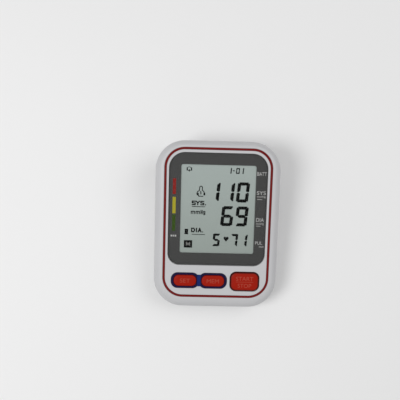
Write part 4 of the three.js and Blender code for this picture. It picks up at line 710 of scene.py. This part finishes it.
class Print:
    """Flat shapes printed on one level, gathered into one thin piece."""

    def __init__(self, level, thickness):
        self.low = level
        self.high = level + thickness
        self.mesh = bmesh.new()

    def shape(self, points):
        """Outline of points, as thick as the print."""
        bottom = [self.mesh.verts.new((x, y, self.low)) for x, y in points]
        top = [self.mesh.verts.new((x, y, self.high)) for x, y in points]
        self.mesh.faces.new(bottom[::-1])
        self.mesh.faces.new(top)
        for i in range(len(points)):
            j = (i + 1) % len(points)
            self.mesh.faces.new((bottom[i], bottom[j], top[j], top[i]))

    def bar(self, left, right, bottom, top):
        self.shape([(left, bottom), (right, bottom), (right, top), (left, top)])

    def arc(self, x, y, radius, width, end=360, steps=24):
        """A band along a circle, from its right side round to an angle in degrees."""
        for step in range(steps):
            first = math.radians(end * step / steps)
            last = math.radians(end * (step + 1) / steps)
            outer, inner = radius + width / 2, radius - width / 2
            self.shape([
                (x + outer * math.cos(first), y + outer * math.sin(first)),
                (x + outer * math.cos(last), y + outer * math.sin(last)),
                (x + inner * math.cos(last), y + inner * math.sin(last)),
                (x + inner * math.cos(first), y + inner * math.sin(first)),
            ])

    def stroke(self, points, width):
        """Straight strokes of one width between points, each with square ends over its points."""
        for start, end in zip(points, points[1:]):
            start, end = Vector(start), Vector(end)
            along = (end - start).normalized() * width / 2
            aside = along.orthogonal()
            start, end = start - along, end + along
            self.shape([start + aside, end + aside, end - aside, start - aside])

    def words(self, text, left, right, bottom, top):
        """Lettering fitted to a box. It is extruded only to tell its top from its bottom."""
        curve = bpy.data.curves.new("words", "FONT")
        curve.body = text
        curve.extrude = 1
        item = bpy.data.objects.new("words", curve)
        bpy.context.scene.collection.objects.link(item)
        bpy.context.view_layer.update()
        data = bpy.data.meshes.new_from_object(item.evaluated_get(bpy.context.evaluated_depsgraph_get()))
        bpy.data.objects.remove(item)
        xs = [vertex.co.x for vertex in data.vertices]
        ys = [vertex.co.y for vertex in data.vertices]
        scale_x = (right - left) / (max(xs) - min(xs))
        scale_y = (top - bottom) / (max(ys) - min(ys))
        for vertex in data.vertices:
            vertex.co = (
                left + (vertex.co.x - min(xs)) * scale_x,
                bottom + (vertex.co.y - min(ys)) * scale_y,
                self.high if vertex.co.z > 0 else self.low,
            )
        self.mesh.from_mesh(data)
        bpy.data.meshes.remove(data)

    def letters(self, text, sides, bottom, top, width):
        """Letters in strokes of one width, each fitted between a left and a right side."""
        half = width / 2
        for letter, (left, right) in zip(text, sides):
            for line in LETTERS[letter]:
                self.stroke([
                    (left + half + x * (right - left - width), bottom + half + y * (top - bottom - width))
                    for x, y in line
                ], width)

    def finish(self, name, material, body="casing"):
        """Adds what is drawn so far as one piece."""
        bmesh.ops.recalc_face_normals(self.mesh, faces=self.mesh.faces)
        add(name, self.mesh, material, body, weighted=False)


# Segments of a figure, as letters: a top, b and c right, d bottom, e and f left, g middle
FIGURES = {
    "0": "abcdef", "1": "bc", "5": "acdfg", "6": "acdefg", "7": "abc", "9": "abcdfg",
}
FIGURE_SLANT = math.tan(math.radians(5))
FIGURE_BAR = 0.95  # thickness of a level segment, as a share of an upright one's
HEART_STEPS = 36
SCALE_LEFT = -40.05
SCALE_RIGHT = -37.2


def figure(ink, character, x, y, width, height, line, gap, cut):
    """One seven-segment figure that leans to the right, its outer corners cut off.

    An upright segment is as wide as the line, and the ends of all segments are set in shares of it.
    """
    bar = line * FIGURE_BAR
    middle, half = height / 2, bar / 2
    left_upper = [
        (0, height - cut), (0.3 * line, height - 0.6 * cut),
        (0.6 * line, height - 0.6 * bar), (line, height - 0.95 * bar),
        (line, middle + 0.6 * half + gap), (0.4 * line, middle + gap), (0, middle + 0.4 * half + gap),
    ]
    start, tip, inset = 1.2 * cut, 1.15 * cut, 0.78 * line + gap
    top = [
        (start, height), (width - start, height), (width - tip, height - 0.4 * bar),
        (width - inset, height - bar), (inset, height - bar), (tip, height - 0.4 * bar),
    ]
    inner = 1.1 * line + gap
    across = [
        (half + gap, middle), (inner, middle + half), (width - inner, middle + half),
        (width - half - gap, middle), (width - inner, middle - half), (inner, middle - half),
    ]
    right_upper = [(width - a, b) for a, b in left_upper]
    segments = {
        "a": top,
        "b": right_upper,
        "c": [(a, height - b) for a, b in right_upper],
        "d": [(a, height - b) for a, b in top],
        "e": [(a, height - b) for a, b in left_upper],
        "f": left_upper,
        "g": across,
    }
    for segment in FIGURES[character]:
        ink.shape([(x + a + b * FIGURE_SLANT, y + b) for a, b in segments[segment]])


def figures(ink, text, ends, y, style):
    """A row of figures, each placed by the right end of its foot."""
    for character, end in zip(text, ends):
        figure(ink, character, end - style["width"], y, **style)


def heart(ink, x, y, width, height):
    """Heart shape by its usual curve, which is 32 wide and 29 high before it is scaled."""
    points = []
    for step in range(HEART_STEPS):
        t = step / HEART_STEPS * 2 * math.pi
        across = 16 * math.sin(t) ** 3
        up = 13 * math.cos(t) - 5 * math.cos(2 * t) - 2 * math.cos(3 * t) - math.cos(4 * t)
        points.append((x + across / 32 * width, y + (up + 2.5) / 29 * height))
    ink.shape(points)


def clock_icon(ink, x, y):
    """Alarm clock of a ring, a foot and two bells."""
    ink.arc(x, y + 0.15, 1.7, 0.5)
    ink.stroke([(x, y - 0.6), (x, y - 1.9)], 0.8)
    for side in (-1, 1):
        ink.stroke([(x + side * 2.05, y + 1.05), (x + side * 2.05, y - 1.15)], 0.7)


def person_icon(ink, x, y):
    """Plain pictogram of head, shoulders and arms with a cuff."""
    ink.arc(x + 0.1, y + 7.9, 1.2, 0.8, end=180, steps=12)
    ink.stroke([(x - 1.1, y + 7.9), (x - 1.3, y + 5.3), (x - 3.0, y + 4.1), (x - 3.5, y + 2.6)], 0.75)
    ink.stroke([(x + 1.3, y + 7.9), (x + 1.2, y + 5.6), (x + 2.5, y + 4.6), (x + 3.3, y + 3.0)], 0.75)
    ink.stroke([(x - 2.5, y + 1.1), (x - 1.7, y + 0.2), (x + 1.8, y + 0.1)], 0.75)
    ink.stroke([(x - 0.1, y + 4.3), (x, y + 3.4), (x + 0.1, y + 2.3)], 0.9)
    ink.bar(x - 3.6, x - 1.8, y + 0.9, y + 3.0)
    ink.bar(x + 2.4, x + 3.9, y + 1.0, y + 3.3)


def make_figures():
    """Readings, date and heart on the display."""
    ink = Print(glass_high.z, INK_THICKNESS)
    big = {"width": 10.8, "height": 18.0, "line": 2.95, "gap": 0.16, "cut": 1.2}
    figures(ink, "110", (0.75, 13.65, 26.73), 19.4, big)
    figures(ink, "69", (13.45, 26.35), -2.2, big)
    small = {"width": 6.5, "height": 11.5, "line": 2.1, "gap": 0.12, "cut": 0.5}
    figures(ink, "571", (2.5, 18.4, 26.9), -20.75, small)
    date = {"width": 3.25, "height": 5.15, "line": 1.0, "gap": 0.02, "cut": 0.3}
    figures(ink, "0", (18.4,), 44.85, date)
    for end in (11.35, 22.05):
        ink.stroke([(end - 0.5, 45.35), (end - 0.1, 49.5)], 1.0)
    ink.bar(12.6, 14.1, 47.0, 48.0)
    heart(ink, 8.53, -14.25, 4.55, 4.8)
    ink.finish("lcd_figures", LCD_INK)


def make_symbols():
    """Units, names of the readings and small signs on the display."""
    ink = Print(glass_high.z, INK_THICKNESS)
    clock_icon(ink, -25.85, 48.15)
    person_icon(ink, -15.2, 24.0)
    ink.letters("SYS", ((-23.0, -19.4), (-19.5, -15.8), (-15.4, -11.9)), 16.0, 20.1, 1.0)
    ink.bar(-11.3, -10.4, 16.1, 17.1)
    ink.bar(-22.7, -11.1, 14.45, 15.05)
    units = ((-23.6, -19.9), (-19.3, -15.6), (-15.0, -13.1), (-12.6, -10.7))
    ink.letters("mmHg", units, 8.1, 10.9, 0.75)
    ink.bar(-28.7, -25.6, -7.1, -5.5)
    ink.bar(-28.65, -25.65, -9.1, -7.1)
    ink.bar(-28.9, -25.6, -10.4, -9.1)
    ink.letters("DIA", ((-23.0, -19.4), (-18.7, -17.6), (-17.1, -13.6)), -8.5, -4.35, 1.05)
    ink.bar(-13.1, -12.2, -8.5, -7.6)
    ink.bar(-22.2, -10.5, -10.65, -10.1)
    ink.bar(-29.15, -21.75, -22.6, -15.85)
    ink.finish("lcd_symbols", LCD_INK)
    letter = Print(glass_high.z + INK_THICKNESS, INK_THICKNESS)
    letter.letters("M", [(-27.2, -23.6)], -20.65, -17.25, 0.75)
    letter.finish("lcd_box_letter", LCD_GREY)


def make_mask_print():
    """Coloured scale to the left of the window, and the labels to its right."""
    level = mask_high.z
    for name, material, bottom, top in (
        ("scale_red", RED_PRINT, 25.6, 39.7),
        ("scale_yellow", YELLOW_PRINT, 8.4, 23.1),
        ("scale_green", GREEN_PRINT, -7.5, 7.4),
    ):
        stripe = Print(level, PRINT_THICKNESS)
        stripe.bar(SCALE_LEFT, SCALE_RIGHT, bottom, top)
        stripe.finish(name, material)
    labels = Print(level, PRINT_THICKNESS)
    for left, right in ((-41.1, -39.7), (-39.1, -38.1), (-37.5, -36.2)):
        labels.bar(left, right, -12.65, -11.05)
    labels.words("BATT", 34.1, 42.6, 43.7, 46.9)
    labels.words("SYS", 34.4, 42.4, 26.7, 29.9)
    labels.words("mmHg", 34.8, 42.4, 23.7, 25.9)
    labels.bar(35.0, 39.3, 22.3, 22.7)
    labels.words("DIA", 34.7, 41.7, 2.4, 5.8)
    labels.words("mmHg", 35.0, 41.7, -0.7, 1.5)
    labels.bar(35.0, 38.8, -1.7, -1.3)
    labels.words("PUL", 34.7, 41.0, -18.4, -15.5)
    labels.words("/min", 38.0, 42.6, -21.2, -19.2)
    labels.finish("mask_labels", PALE_PRINT)


make_figures()
make_symbols()
make_mask_print()


# Keys

KEY_EDGE_STEPS = 6
CROWN_STEPS = 5
CROWN_CORNER = 0.1  # radius that the corners still have at the top of the crown
PRINT_SINK = 0.15
PRINT_PROUD = 0.08


def key_profile(key):
    """Profile of a key from its flange up over a rounded edge and a low crown."""
    flange_top = -WALL - FIT
    shoulder_height = key["top"] - KEY_CROWN
    pairs = [
        (KEY_FLANGE_WIDTH, key["bottom"]), (KEY_FLANGE_WIDTH, flange_top), (0, flange_top),
        *rounding(0, shoulder_height, key["edge"], steps=KEY_EDGE_STEPS),
    ]
    reach = key["radius"] - key["edge"] - CROWN_CORNER
    for step in range(1, CROWN_STEPS + 1):
        share = step / CROWN_STEPS
        inset = key["edge"] + share * reach
        pairs.append((-inset, shoulder_height + KEY_CROWN * math.sin(share * math.pi / 2)))
    return pairs


def make_key(key_name, material, lines):
    """A key with its lettering, which lies on the crown. A line without text is a bar."""
    key = KEYS[key_name]
    mesh = lofted(rows_of(key["outline"], key_profile(key)))
    crown = BVHTree.FromBMesh(mesh)
    print_on_key = Print(-PRINT_SINK, PRINT_SINK + PRINT_PROUD)
    x, y = key["middle"]
    for text, left, right, bottom, top in lines:
        if text:
            print_on_key.words(text, x + left, x + right, y + bottom, y + top)
        else:
            print_on_key.bar(x + left, x + right, y + bottom, y + top)
    for vertex in print_on_key.mesh.verts:
        start = Vector((vertex.co.x, vertex.co.y, key["top"] + BEYOND))
        hit = crown.ray_cast(start, Vector((0, 0, -1)))[0]
        vertex.co.z += hit.z
    body = f"{key_name}_key"
    add(f"{key_name}_key_cap", mesh, material, body, [f"{key_name}_button"])
    print_on_key.finish(f"{key_name}_key_print", KEY_PRINT, body)


def make_surround():
    """Blue surround of the first two keys, with rounded holes for them."""
    def profile(grow):
        return [(grow, surround_low.z), *rounding(grow, surround_high.z, MOUTH_ROUND)]

    first, *others = surround_parts(0, profile)
    body = combined(first, others, "UNION")
    holes = [
        lofted(rows_of(KEYS[key_name]["outline"], [
            (FIT, surround_low.z - BEYOND),
            *rounding(FIT, surround_high.z, MOUTH_ROUND, inward=False),
            (FIT + MOUTH_ROUND, ABOVE),
        ]))
        for key_name in ("set", "mem")
    ]
    surround = combined(body, holes, "DIFFERENCE")
    add("blue_surround", surround, FINISHES["blue_trim"], "casing", ["key_surround"])


make_surround()
make_key("set", FINISHES["red_key"], [("SET", -4.6, 4.6, -1.85, 1.85)])
make_key("mem", FINISHES["red_key"], [("MEM", -5.5, 5.5, -1.85, 1.85)])
make_key("start_stop", START_KEY_SHADED_EDGE, [
    ("START", -7.8, 7.8, 1.1, 4.8),
    ("", -7.8, 7.8, -0.25, 0.1),
    ("STOP", -6.1, 6.1, -5.4, -1.7),
])


# Lower casing, door, feet, screws, cells and sockets

BEVEL = 0.25 * MM
BEVEL_SEGMENTS = 2
CAD_WELD = 0.002 * MM
FLAT_ANGLE = math.radians(0.5)


def dressed_copy(name, node, body, slot):
    """A CAD node's shape with its small edges rounded over."""
    mesh = bmesh.new()
    mesh.from_mesh(frame["nodes"][node].data)
    bmesh.ops.remove_doubles(mesh, verts=mesh.verts, dist=CAD_WELD)
    bmesh.ops.dissolve_limit(
        mesh, angle_limit=FLAT_ANGLE, verts=mesh.verts, edges=mesh.edges, delimit={"NORMAL"})
    bmesh.ops.triangulate(mesh, faces=mesh.faces)
    piece = add(name, mesh, FINISHES[slot], body, [node], Matrix.Identity(4), weighted=False)
    bevel = piece.modifiers.new("edges", "BEVEL")
    bevel.width = BEVEL
    bevel.segments = BEVEL_SEGMENTS
    bevel.limit_method = "ANGLE"
    bevel.angle_limit = SHARP
    bevel.loop_slide = False
    bevel.miter_outer = "MITER_ARC"
    normals = piece.modifiers.new("normals", "WEIGHTED_NORMAL")
    normals.keep_sharp = True


def circle(radius, height, steps):
    """Level circle of points round the z axis."""
    points = []
    for step in range(steps):
        angle = step / steps * 2 * math.pi
        points.append((radius * math.cos(angle), radius * math.sin(angle), height))
    return points


def turned(profile, loop=False, steps=48):
    """A body turned about its own z from (radius, height) pairs."""
    return lofted([circle(radius, height, steps) for radius, height in profile], loop=loop)


def standing(node):
    """Places a turned body upright, from the bottom of the node."""
    low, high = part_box(node)
    middle = (low + high) / 2
    return Matrix.Translation((middle.x, middle.y, low.z)) @ Matrix.Scale(MM, 4)


def lying(node, along):
    """Places a turned body from one side of the node to the other.

    It runs along +X from the left side where along is 1, and back from the right side where it is -1.
    """
    low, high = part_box(node)
    middle = (low + high) / 2
    start = low.x if along > 0 else high.x
    turn = Matrix.Rotation(along * math.pi / 2, 4, "Y")
    return Matrix.Translation((start, middle.y, middle.z)) @ turn @ Matrix.Scale(MM, 4)


FOOT_RADIUS = 6.0
FOOT_HEIGHT = 2.6
FOOT_EDGE = 0.6
FOOT_HUB = 0.5
FOOT_GROOVES = (2.0, 3.3, 4.6)
GROOVE_DEPTH = 0.25
GROOVE_HALF = 0.25


def make_foot(node):
    """Rubber foot with a rounded edge and rings in its tread."""
    profile = [(FOOT_HUB, 0)]
    for radius in FOOT_GROOVES:
        profile += [
            (radius - GROOVE_HALF, 0), (radius - GROOVE_HALF / 2, GROOVE_DEPTH),
            (radius + GROOVE_HALF / 2, GROOVE_DEPTH), (radius + GROOVE_HALF, 0),
        ]
    edge = [(FOOT_RADIUS + grow, -height) for grow, height in rounding(0, 0, FOOT_EDGE)]
    profile += reversed(edge)
    profile += [(FOOT_RADIUS, FOOT_HEIGHT)]
    add(f"{node}_tread", turned(profile), FINISHES["dark_rubber"], "casing", [node],
        standing(node))


SCREW_HEAD_RADIUS = 2.7
SCREW_HEAD_HEIGHT = 2.0
SCREW_RADIUS = 1.4
SCREW_LENGTH = 10.0
SCREW_STEPS = 32
THREAD_TURNS = 9
THREAD_PITCH = 0.9
THREAD_START = 0.6  # from the head
THREAD_DEPTH = 0.3
THREAD_RISE = 0.4
SCREW_TIP_RADIUS = 0.3
CROSS_LENGTH = 3.2
CROSS_WIDTH = 0.7
CROSS_DEPTH = 0.9


def cross_arm(x, y):
    """One arm of a screw's cross recess, which stands half in the head."""
    arm = bmesh.new()
    bmesh.ops.create_cube(arm, size=1, matrix=Matrix.Diagonal((x, y, 2 * CROSS_DEPTH, 1)))
    return arm


def make_screw(node):
    """Self-tapping screw, head down, with a cross recess and its thread as rings."""
    profile = [
        (0.4, 0), (1.2, 0), (2.2, 0.25), (2.55, 0.6), (SCREW_HEAD_RADIUS, 1.1),
        (SCREW_HEAD_RADIUS, SCREW_HEAD_HEIGHT), (SCREW_RADIUS, SCREW_HEAD_HEIGHT),
    ]
    for turn in range(THREAD_TURNS):
        height = SCREW_HEAD_HEIGHT + THREAD_START + turn * THREAD_PITCH
        profile += [(SCREW_RADIUS - THREAD_DEPTH, height), (SCREW_RADIUS, height + THREAD_RISE)]
    profile += [(SCREW_TIP_RADIUS, SCREW_HEAD_HEIGHT + SCREW_LENGTH)]
    arms = [cross_arm(CROSS_LENGTH, CROSS_WIDTH), cross_arm(CROSS_WIDTH, CROSS_LENGTH)]
    screw = combined(turned(profile, steps=SCREW_STEPS), arms, "DIFFERENCE")
    add(f"{node}_cross", screw, FINISHES["steel"], "casing", [node], standing(node))


CELLS = 4
CELL_RADIUS = 7.25
CELL_LENGTH = 49.2
CELL_NUB_RADIUS = 2.75
CELL_NUB_LENGTH = 1.3


def make_cell(number):
    """A cell's sleeve, rolled over metal ends, and the metal under it."""
    node = f"cell_{number}"
    along = 1 if number % 2 else -1
    place = lying(node, along)
    sleeve = turned([
        (CELL_RADIUS - 1.5, 0.1), (CELL_RADIUS - 1.2, 0), (CELL_RADIUS - 0.5, 0.05),
        (CELL_RADIUS - 0.1, 0.35), (CELL_RADIUS, 0.9),
        (CELL_RADIUS, CELL_LENGTH - 0.9), (CELL_RADIUS - 0.1, CELL_LENGTH - 0.35),
        (CELL_RADIUS - 0.5, CELL_LENGTH - 0.05), (CELL_RADIUS - 1.2, CELL_LENGTH),
        (CELL_RADIUS - 1.5, CELL_LENGTH - 0.1),
    ], loop=True)
    can = turned([
        (0.5, 0.15), (CELL_RADIUS - 1.6, 0.15), (CELL_RADIUS - 1.6, CELL_LENGTH - 0.15),
        (CELL_NUB_RADIUS + 0.3, CELL_LENGTH - 0.15), (CELL_NUB_RADIUS, CELL_LENGTH + 0.1),
        (CELL_NUB_RADIUS, CELL_LENGTH + CELL_NUB_LENGTH - 0.3),
        (CELL_NUB_RADIUS - 0.3, CELL_LENGTH + CELL_NUB_LENGTH), (0.5, CELL_LENGTH + CELL_NUB_LENGTH),
    ])
    add(f"{node}_sleeve", sleeve, FINISHES["cell_sleeve"], "casing", [node], place)
    add(f"{node}_can", can, CELL_END, "casing", matrix=place)


def make_cuff_socket():
    """Air socket in the left side: a flange and a smooth bore with a ring seal in it."""
    profile = [
        (3.8, 0.4), (4.2, 0), (6.1, 0), (6.5, 0.4), (6.5, 1.3), (5.2, 1.3), (5.2, 12.4), (1.6, 12.4),
        (1.6, 16.4), (0.8, 16.4), (0.8, 11.1), (3.8, 10.1), (3.8, 4.2), (3.5, 4.0), (3.5, 3.4), (3.8, 3.2),
    ]
    add("cuff_socket_body", turned(profile, loop=True), FINISHES["black_plastic"], "casing",
        ["cuff_socket"], lying("cuff_socket", 1))


ADAPTER_BORE = 3.2
ADAPTER_BORE_DEPTH = 10.0
ADAPTER_BLOCK_START = 3.1


def make_adapter_socket():
    """Adapter socket in the right side: a nose with a bore, and a pin in it."""
    low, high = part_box("adapter_socket")
    nose = turned([
        (ADAPTER_BORE, 0.3), (3.5, 0), (4.4, 0), (4.6, 0.2), (4.6, 3.4), (ADAPTER_BORE, 3.4),
    ], loop=True)
    pin = turned([(0.4, 1.0), (0.8, 1.1), (1.0, 1.5), (1.0, 10.4), (0.4, 10.4)], steps=24)
    place = lying("adapter_socket", -1)
    block = bmesh.new()
    size = high - low
    depth = size.x / MM - ADAPTER_BLOCK_START
    matrix = Matrix.Translation((0, 0, ADAPTER_BLOCK_START + depth / 2)) @ Matrix.Diagonal(
        (size.z / MM, size.y / MM, depth, 1))
    bmesh.ops.create_cube(block, size=1, matrix=matrix)
    bore = turned([(ADAPTER_BORE, -BEYOND), (ADAPTER_BORE, ADAPTER_BORE_DEPTH)])
    body = combined(block, [bore], "DIFFERENCE")
    add("adapter_socket_body", body, FINISHES["black_plastic"], "casing",
        ["adapter_socket"], place)
    add("adapter_socket_nose", nose, FINISHES["black_plastic"], "casing", matrix=place)
    add("adapter_socket_pin", pin, FINISHES["nickel"], "casing", matrix=place)


dressed_copy("lower_shell", "bottom_cover", "casing", "white_casing")
dressed_copy("cell_door", "battery_door", "door", "white_casing")
for end in ("back", "front"):
    for side in ("left", "right"):
        make_foot(f"foot_{end}_{side}")
        make_screw(f"screw_{end}_{side}")
for number in range(1, CELLS + 1):
    make_cell(number)
make_cuff_socket()
make_adapter_socket()


# Floor and light

FLOOR_SIZE = 6.0
WORLD_LIGHT = 0.465
WORLD_BACKDROP = 0.8
LIGHT_AIM = Vector((0, 0, 0.02))
LIGHTS = {
    "key_light": {"place": (-0.6, -0.1, 0.95), "size": 0.5, "watts": 5.2},
    "fill_light": {"place": (0.6, 0.3, 0.9), "size": 0.8, "watts": 2.6},
}


def make_floor():
    """Plain pale floor under the object."""
    mesh = bmesh.new()
    bmesh.ops.create_grid(mesh, x_segments=1, y_segments=1, size=FLOOR_SIZE / 2)
    floor = linked("floor", mesh)
    floor.data.materials.append(floor_finish())


def make_light(name, place, size, watts):
    """Soft round light that faces the middle of the object."""
    data = bpy.data.lights.new(name, "AREA")
    data.shape = "DISK"
    data.size = size
    data.energy = watts
    light = bpy.data.objects.new(name, data)
    away = Vector(place) - LIGHT_AIM
    turn = away.to_track_quat("Z", "Y").to_matrix().to_4x4()
    light.matrix_world = Matrix.Translation(place) @ turn
    bpy.context.scene.collection.objects.link(light)


def make_world():
    """Plain light all round, brighter where it is seen directly, mirrored or through a clear piece."""
    world = bpy.data.worlds.new("studio")
    world.use_nodes = True
    nodes, links = world.node_tree.nodes, world.node_tree.links
    sky = nodes["Background"]
    sky.inputs["Color"].default_value = (1, 1, 1, 1)
    path = nodes.new("ShaderNodeLightPath")
    seen = path.outputs["Is Camera Ray"]
    for kind in ("Is Glossy Ray", "Is Transmission Ray"):
        either = nodes.new("ShaderNodeMath")
        either.operation = "ADD"
        either.use_clamp = True
        links.new(seen, either.inputs[0])
        links.new(path.outputs[kind], either.inputs[1])
        seen = either.outputs["Value"]
    strength = nodes.new("ShaderNodeMapRange")
    strength.inputs["To Min"].default_value = WORLD_LIGHT
    strength.inputs["To Max"].default_value = WORLD_BACKDROP
    links.new(seen, strength.inputs["Value"])
    links.new(strength.outputs["Result"], sky.inputs["Strength"])
    bpy.context.scene.world = world


make_floor()
make_world()
for name, light in LIGHTS.items():
    make_light(name, **light)
bpy.context.scene.view_settings.view_transform = "Standard"
